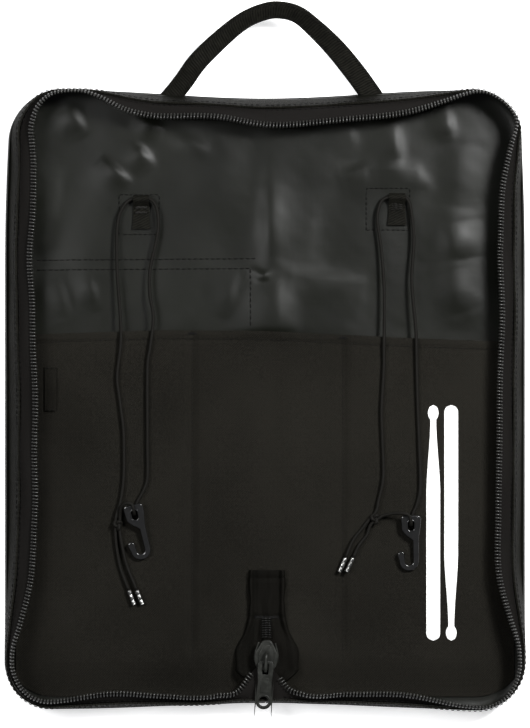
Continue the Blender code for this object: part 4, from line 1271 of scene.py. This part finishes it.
def make_garage():
    y = np.linspace(-0.1285, -0.2135, 96)[:, None]
    part = np.linspace(-1, 1, 49)[None]
    x = 0.0015 + garage_half(y) * part + 0.0006 * np.sin(y * 260) * part
    y = np.repeat(y, 49, 1)
    z = garage_top(x, y)
    z = z - 0.0034 * np.clip((np.abs(part) - 0.93) / 0.07, 0, 1)
    item = add_mesh("zip_flap", np.stack([x, y, z], -1), grid_faces(96, 49)[:, ::-1], [FLAP],
                    np.stack([x, y], -1).reshape(-1, 2))
    thicken(item, 0.0010)
    ride_as(item, "spine", "nylon", "zip_garage")
    lines = [[(0.0015 - 0.0118, -0.1345), (0.0015 + 0.0118, -0.1345)]]
    for side in (-1, 1):
        lines.append([(0.0015 + side * 0.0104, -0.1310), (0.0015 + side * 0.0104, -0.1630),
                      (0.0015 + side * 0.0150, -0.1830),
                      (0.0015 + side * 0.0205, -0.2040)])
    sewn("zip_flap_sewing", lines, "spine", garage_top, radius=0.00022)
    tack = stitches("zip_flap_tack",
                    [on_top(garage_top, bar_tack(0.0015, -0.1640, 0.0200, 0.0016, 8), 0.0004)], THREAD,
                    0.0034, 0.0001, 0.00028)
    ride_as(tack, "spine", "nylon")


def make_closed_teeth():
    """The stub of closed teeth between the slider and the end of the tape."""
    y = np.linspace(-0.1640, -0.1790, 30)
    halves = []
    for side in (-1, 1):
        line = np.stack([np.full(30, 0.0010 + side * 0.0016), y, np.linspace(0.0174, 0.0208, 30)], -1)
        halves.append(coil(f"closed_{side}", line, np.full((30, 3), (-side, 0, 0.0)), 0.0020, 0.0010,
                           0.00050,
                           TOOTH_PITCH * 0.7, TEETH_DARK))
    ride_as(join("closed_coil", halves), "spine", "zip_teeth", "closed_teeth")


make_slider()
make_pull()
make_garage()
make_closed_teeth()


# ---------------------------------------------------------------- handle, label and print


HANDLE = [
    (-0.0790, 0.2225, 0.0020), (-0.0715, 0.2300, 0.0030), (-0.0620, 0.2410, 0.0080),
          (-0.0500, 0.2560, 0.0165),
    (-0.0310, 0.2735, 0.0220), (-0.0160, 0.2850, 0.0240), (-0.0020, 0.2912, 0.0245),
          (0.0100, 0.2930, 0.0245),
    (0.0240, 0.2898, 0.0237), (0.0370, 0.2800, 0.0215), (0.0530, 0.2650, 0.0170), (0.0680, 0.2480, 0.0095),
    (0.0785, 0.2345, 0.0035), (0.0850, 0.2250, 0.0020),
]


def handle_strips(low_part, high_part, name):
    """A stretch of the handle: 30 mm webbing folded double, with its two edges meeting in a slit."""
    line = smooth_route(HANDLE, 0.0006)
    count = len(line)
    part = np.linspace(0, 1, count)
    ahead = unit(np.gradient(line, axis=0))
    flat = unit(np.stack([-ahead[:, 1], ahead[:, 0], 0 * part], -1))
    tilt = np.radians(42 * smoothstep(part, 0.06, 0.45) * smoothstep(1 - part, 0.06, 0.45))[:, None]
    across = flat * np.cos(tilt) + np.array((0, 0, 1.0)) * np.sin(tilt)
    up = unit(np.cross(ahead, across))
    up = np.where(up[:, 2:] < 0, -up, up)
    half = 0.0075 + 0.0007 * smoothstep(part, 0.55, 1.0)
    keep = (part >= low_part) & (part <= high_part)
    run = np.arange(count) * 0.0006
    ring = np.linspace(0, 2 * np.pi, 36, endpoint=False)
    rows, cloth = [], []
    for angle in ring:
        wide = np.sign(math.cos(angle)) * abs(math.cos(angle)) ** 0.55
        high = np.sign(math.sin(angle)) * abs(math.sin(angle)) ** 0.70
        rib = np.abs(np.sin(np.pi * (run + 0.5 * wide * half) / RIB_PITCH)) * 0.00020
        slit = 0.0007 * math.exp(-((wide + 0.15) / 0.06) ** 2) * (high > 0)
        row = line + across * (wide * half)[:,
                                            None] + up * (high * 0.0016 + np.sign(high) * rib - slit)[:,
                                                None]
        rows.append(row[keep])
        cloth.append(np.stack([run, np.full(count, angle / (2 * np.pi) * 0.030)], -1)[keep])
    grid = np.stack(rows, 1)
    faces = grid_faces(len(grid), 36, closed=True)
    caps = [tuple(range(36))[::-1], tuple(range((len(grid) - 1) * 36, len(grid) * 36))]
    item = add_mesh(name, grid, [*map(tuple, faces), *caps], [WEBBING], np.stack(cloth, 1).reshape(-1, 2))
    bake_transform(item)
    edges = []
    for side in (-0.80, 0.80):
        edge = line + across * (side * half)[:, None] + up * 0.0016
        edges.append(edge[keep])
    thread = stitches(f"{name}_sewing", edges, THREAD, 0.0028, 0.0014, 0.00026)
    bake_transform(thread)
    return item


def make_handle():
    left = handle_strips(0.0, 0.52, "left_handle_strap")
    right = handle_strips(0.518, 1.0, "right_handle_strap")
    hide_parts("handle_left", "handle_top")
    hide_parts("handle_right")


def make_label():
    """A small blank woven label folded into the pocket's side seam."""
    y = np.linspace(0.0250, -0.0085, 34)[:, None]
    x = np.linspace(-0.1665, -0.1575, 12)[None]
    x, y = np.repeat(x, 34, 0), np.repeat(y, 12, 1)
    lift = 0.0010 + 0.0012 * smoothstep(x, -0.166, -0.158) * (1 + 0.4 * np.sin(y * 200))
    z = pocket_top(x, y) + lift
    item = add_mesh("woven_label", np.stack([x, y, z], -1), grid_faces(34, 12)[:, ::-1], [LABEL],
                    np.stack([x, y], -1).reshape(-1, 2))
    thicken(item, 0.0006)
    ride_as(item, "left_half", "nylon", "side_label")
    ends = [[(-0.1655, 0.0240), (-0.1582, 0.0240)], [(-0.1655, -0.0075), (-0.1582, -0.0075)]]

    def label_top(px, py):
        return pocket_top(px, py) + 0.0016 + 0.0012 * smoothstep(px, -0.166, -0.158)

    sewn("woven_label_sewing", ends, "left_half", label_top, radius=0.00022)


def stick_half(part):
    """Half the width of a plain drum stick's outline, from butt at 0 to tip at 1."""
    shaft = 0.0052 - 0.0030 * smoothstep(part, 0.62, 0.94)
    butt = np.sqrt(np.clip(1 - ((0.03 - part) / 0.03) ** 2, 0, 1)) if part < 0.03 else 1.0
    bead = 0.0040 * math.sqrt(max(0.0, 1 - ((part - 0.967) / 0.033) ** 2))
    return float(max(shaft * butt if part < 0.95 else 0.0, bead if part > 0.934 else 0.0, 0.0001))


def make_print():
    """Two plain drum sticks, tip to butt, in white ink on the right pocket."""
    parts = np.linspace(0, 1, 150)
    sheets = []
    for x, butt_y, tip_y in ((0.1272, -0.1820, -0.0040), (0.1408, -0.0040, -0.1820)):
        half = np.array([stick_half(part) for part in parts])
        y = butt_y + (tip_y - butt_y) * parts
        across = np.linspace(-1, 1, 9)
        px = x + half[:, None] * across[None]
        py = np.repeat(y[:, None], 9, 1)
        pz = pocket_top(px, py) + 0.00028 - 0.00022 * np.abs(across[None]) ** 8
        order = grid_faces(150, 9)
        if tip_y < butt_y:
            order = order[:, ::-1]
        sheets.append(add_mesh("stick", np.stack([px, py, pz], -1), order[:, ::-1], [PRINT],
                               np.stack([px, py], -1).reshape(-1, 2)))
    item = join("stick_print", sheets)
    thicken(item, 0.00012)
    ride_as(item, "right_half", "nylon")


LABEL = make_nylon("label_satin", 0.8)
make_handle()
make_label()
make_print()


# ---------------------------------------------------------------- the outside pocket, underneath


OUTER_LEFT = -0.166
OUTER_RIGHT = -0.036
OUTER_ZIP_Y = 0.1032
OUTER_BOTTOM = -0.195
OUTER_SLIDER_X = -0.150


def under(x, y):
    """Height of the outside panel's hidden face, just under the sheet."""
    rim = np.minimum(np.minimum(x - OUTER_LEFT, OUTER_RIGHT - x), np.minimum(y - OUTER_BOTTOM, 0.12 - y))
    return SHELL_BOTTOM - 0.0004 - 0.0009 * smoothstep(rim, 0.0, 0.012) + 0.0003 * ripple(x, y, 33)


def under_piece(name, low_x, high_x, low_y, high_y, look, slot, node, thickness, drop=0.0):
    x, y = np.meshgrid(np.linspace(low_x, high_x, 66),
                       np.linspace(low_y, high_y, math.ceil((high_y - low_y) / 0.002) + 2))
    z = under(x, y) - drop
    item = add_mesh(name, np.stack([x, y, z], -1), grid_faces(*x.shape)[:, ::-1], [look],
                    np.stack([x, y], -1).reshape(-1, 2))
    thicken(item, thickness)
    return ride_as(item, "left_half", slot, *node)


def make_outer_pocket():
    under_piece("outer_panel", OUTER_LEFT, OUTER_RIGHT, OUTER_BOTTOM, OUTER_ZIP_Y - 0.0040, NYLON_OUT,
                "nylon",
                ["outer_pocket_panel"], 0.0009)
    under_piece("outer_tape", OUTER_LEFT, OUTER_RIGHT, OUTER_ZIP_Y - 0.0110, OUTER_ZIP_Y + 0.0110, TAPE,
                "zip_tape",
                ["outer_zip_tape"], 0.0006, -0.0006)
    under_piece("outer_upper_lip", OUTER_LEFT, OUTER_RIGHT, OUTER_ZIP_Y + 0.0040, OUTER_ZIP_Y + 0.0130,
                NYLON_OUT, "nylon",
                [], 0.0008)
    x = np.linspace(OUTER_LEFT + 0.003, OUTER_RIGHT - 0.003, 60)
    halves = []
    for side in (-1, 1):
        line = np.stack([x, np.full(60, OUTER_ZIP_Y + side * 0.0011), np.full(60, 0.0032)], -1)
        halves.append(coil("outer_half", line, np.full((60, 3), (0.0, -side, 0)), 0.0015, 0.0009, 0.00038,
                           0.0014, TEETH, -1))
    ride_as(join("outer_coil", halves), "left_half", "zip_teeth")
    rows = []
    for y in (OUTER_ZIP_Y - 0.0062, OUTER_ZIP_Y + 0.0062, OUTER_ZIP_Y + 0.0115):
        rows.append(on_top(under, [(OUTER_LEFT + 0.004, y), (OUTER_RIGHT - 0.004, y)], -0.0006))
    border = [(OUTER_LEFT + 0.003, 0.095), (OUTER_LEFT + 0.003, OUTER_BOTTOM + 0.003),
              (OUTER_RIGHT - 0.003, OUTER_BOTTOM + 0.003),
              (OUTER_RIGHT - 0.003, 0.095)]
    rows.append(on_top(under, border, -0.0006))
    ride_as(stitches("outer_sewing", rows, THREAD, radius=-0.00030, lift=-0.0001), "left_half", "nylon")
    slider = plate("outer_zip_runner", [shield(0.0062, 0.0110)], 0.0012, 0.0004,
                   placed(OUTER_SLIDER_X, OUTER_ZIP_Y, 0.0020, -90),
                   [ENAMEL])
    ride_as(slider, "outer_zip_slider", "slider_metal", "outer_slider")
    place = placed(OUTER_SLIDER_X + 0.003, OUTER_ZIP_Y, 0.0010, 90)
    hole = arc(0.0, 0.0040 - 0.0240, 0.0018, 0, 345, 20)
    pull = plate("outer_zip_tag", [pull_outline(0.0075, 0.0240), hole], 0.0009, 0.0003, place, [ENAMEL])
    ride_as(pull, "outer_zip_pull", "slider_metal", "outer_pull")


make_outer_pocket()
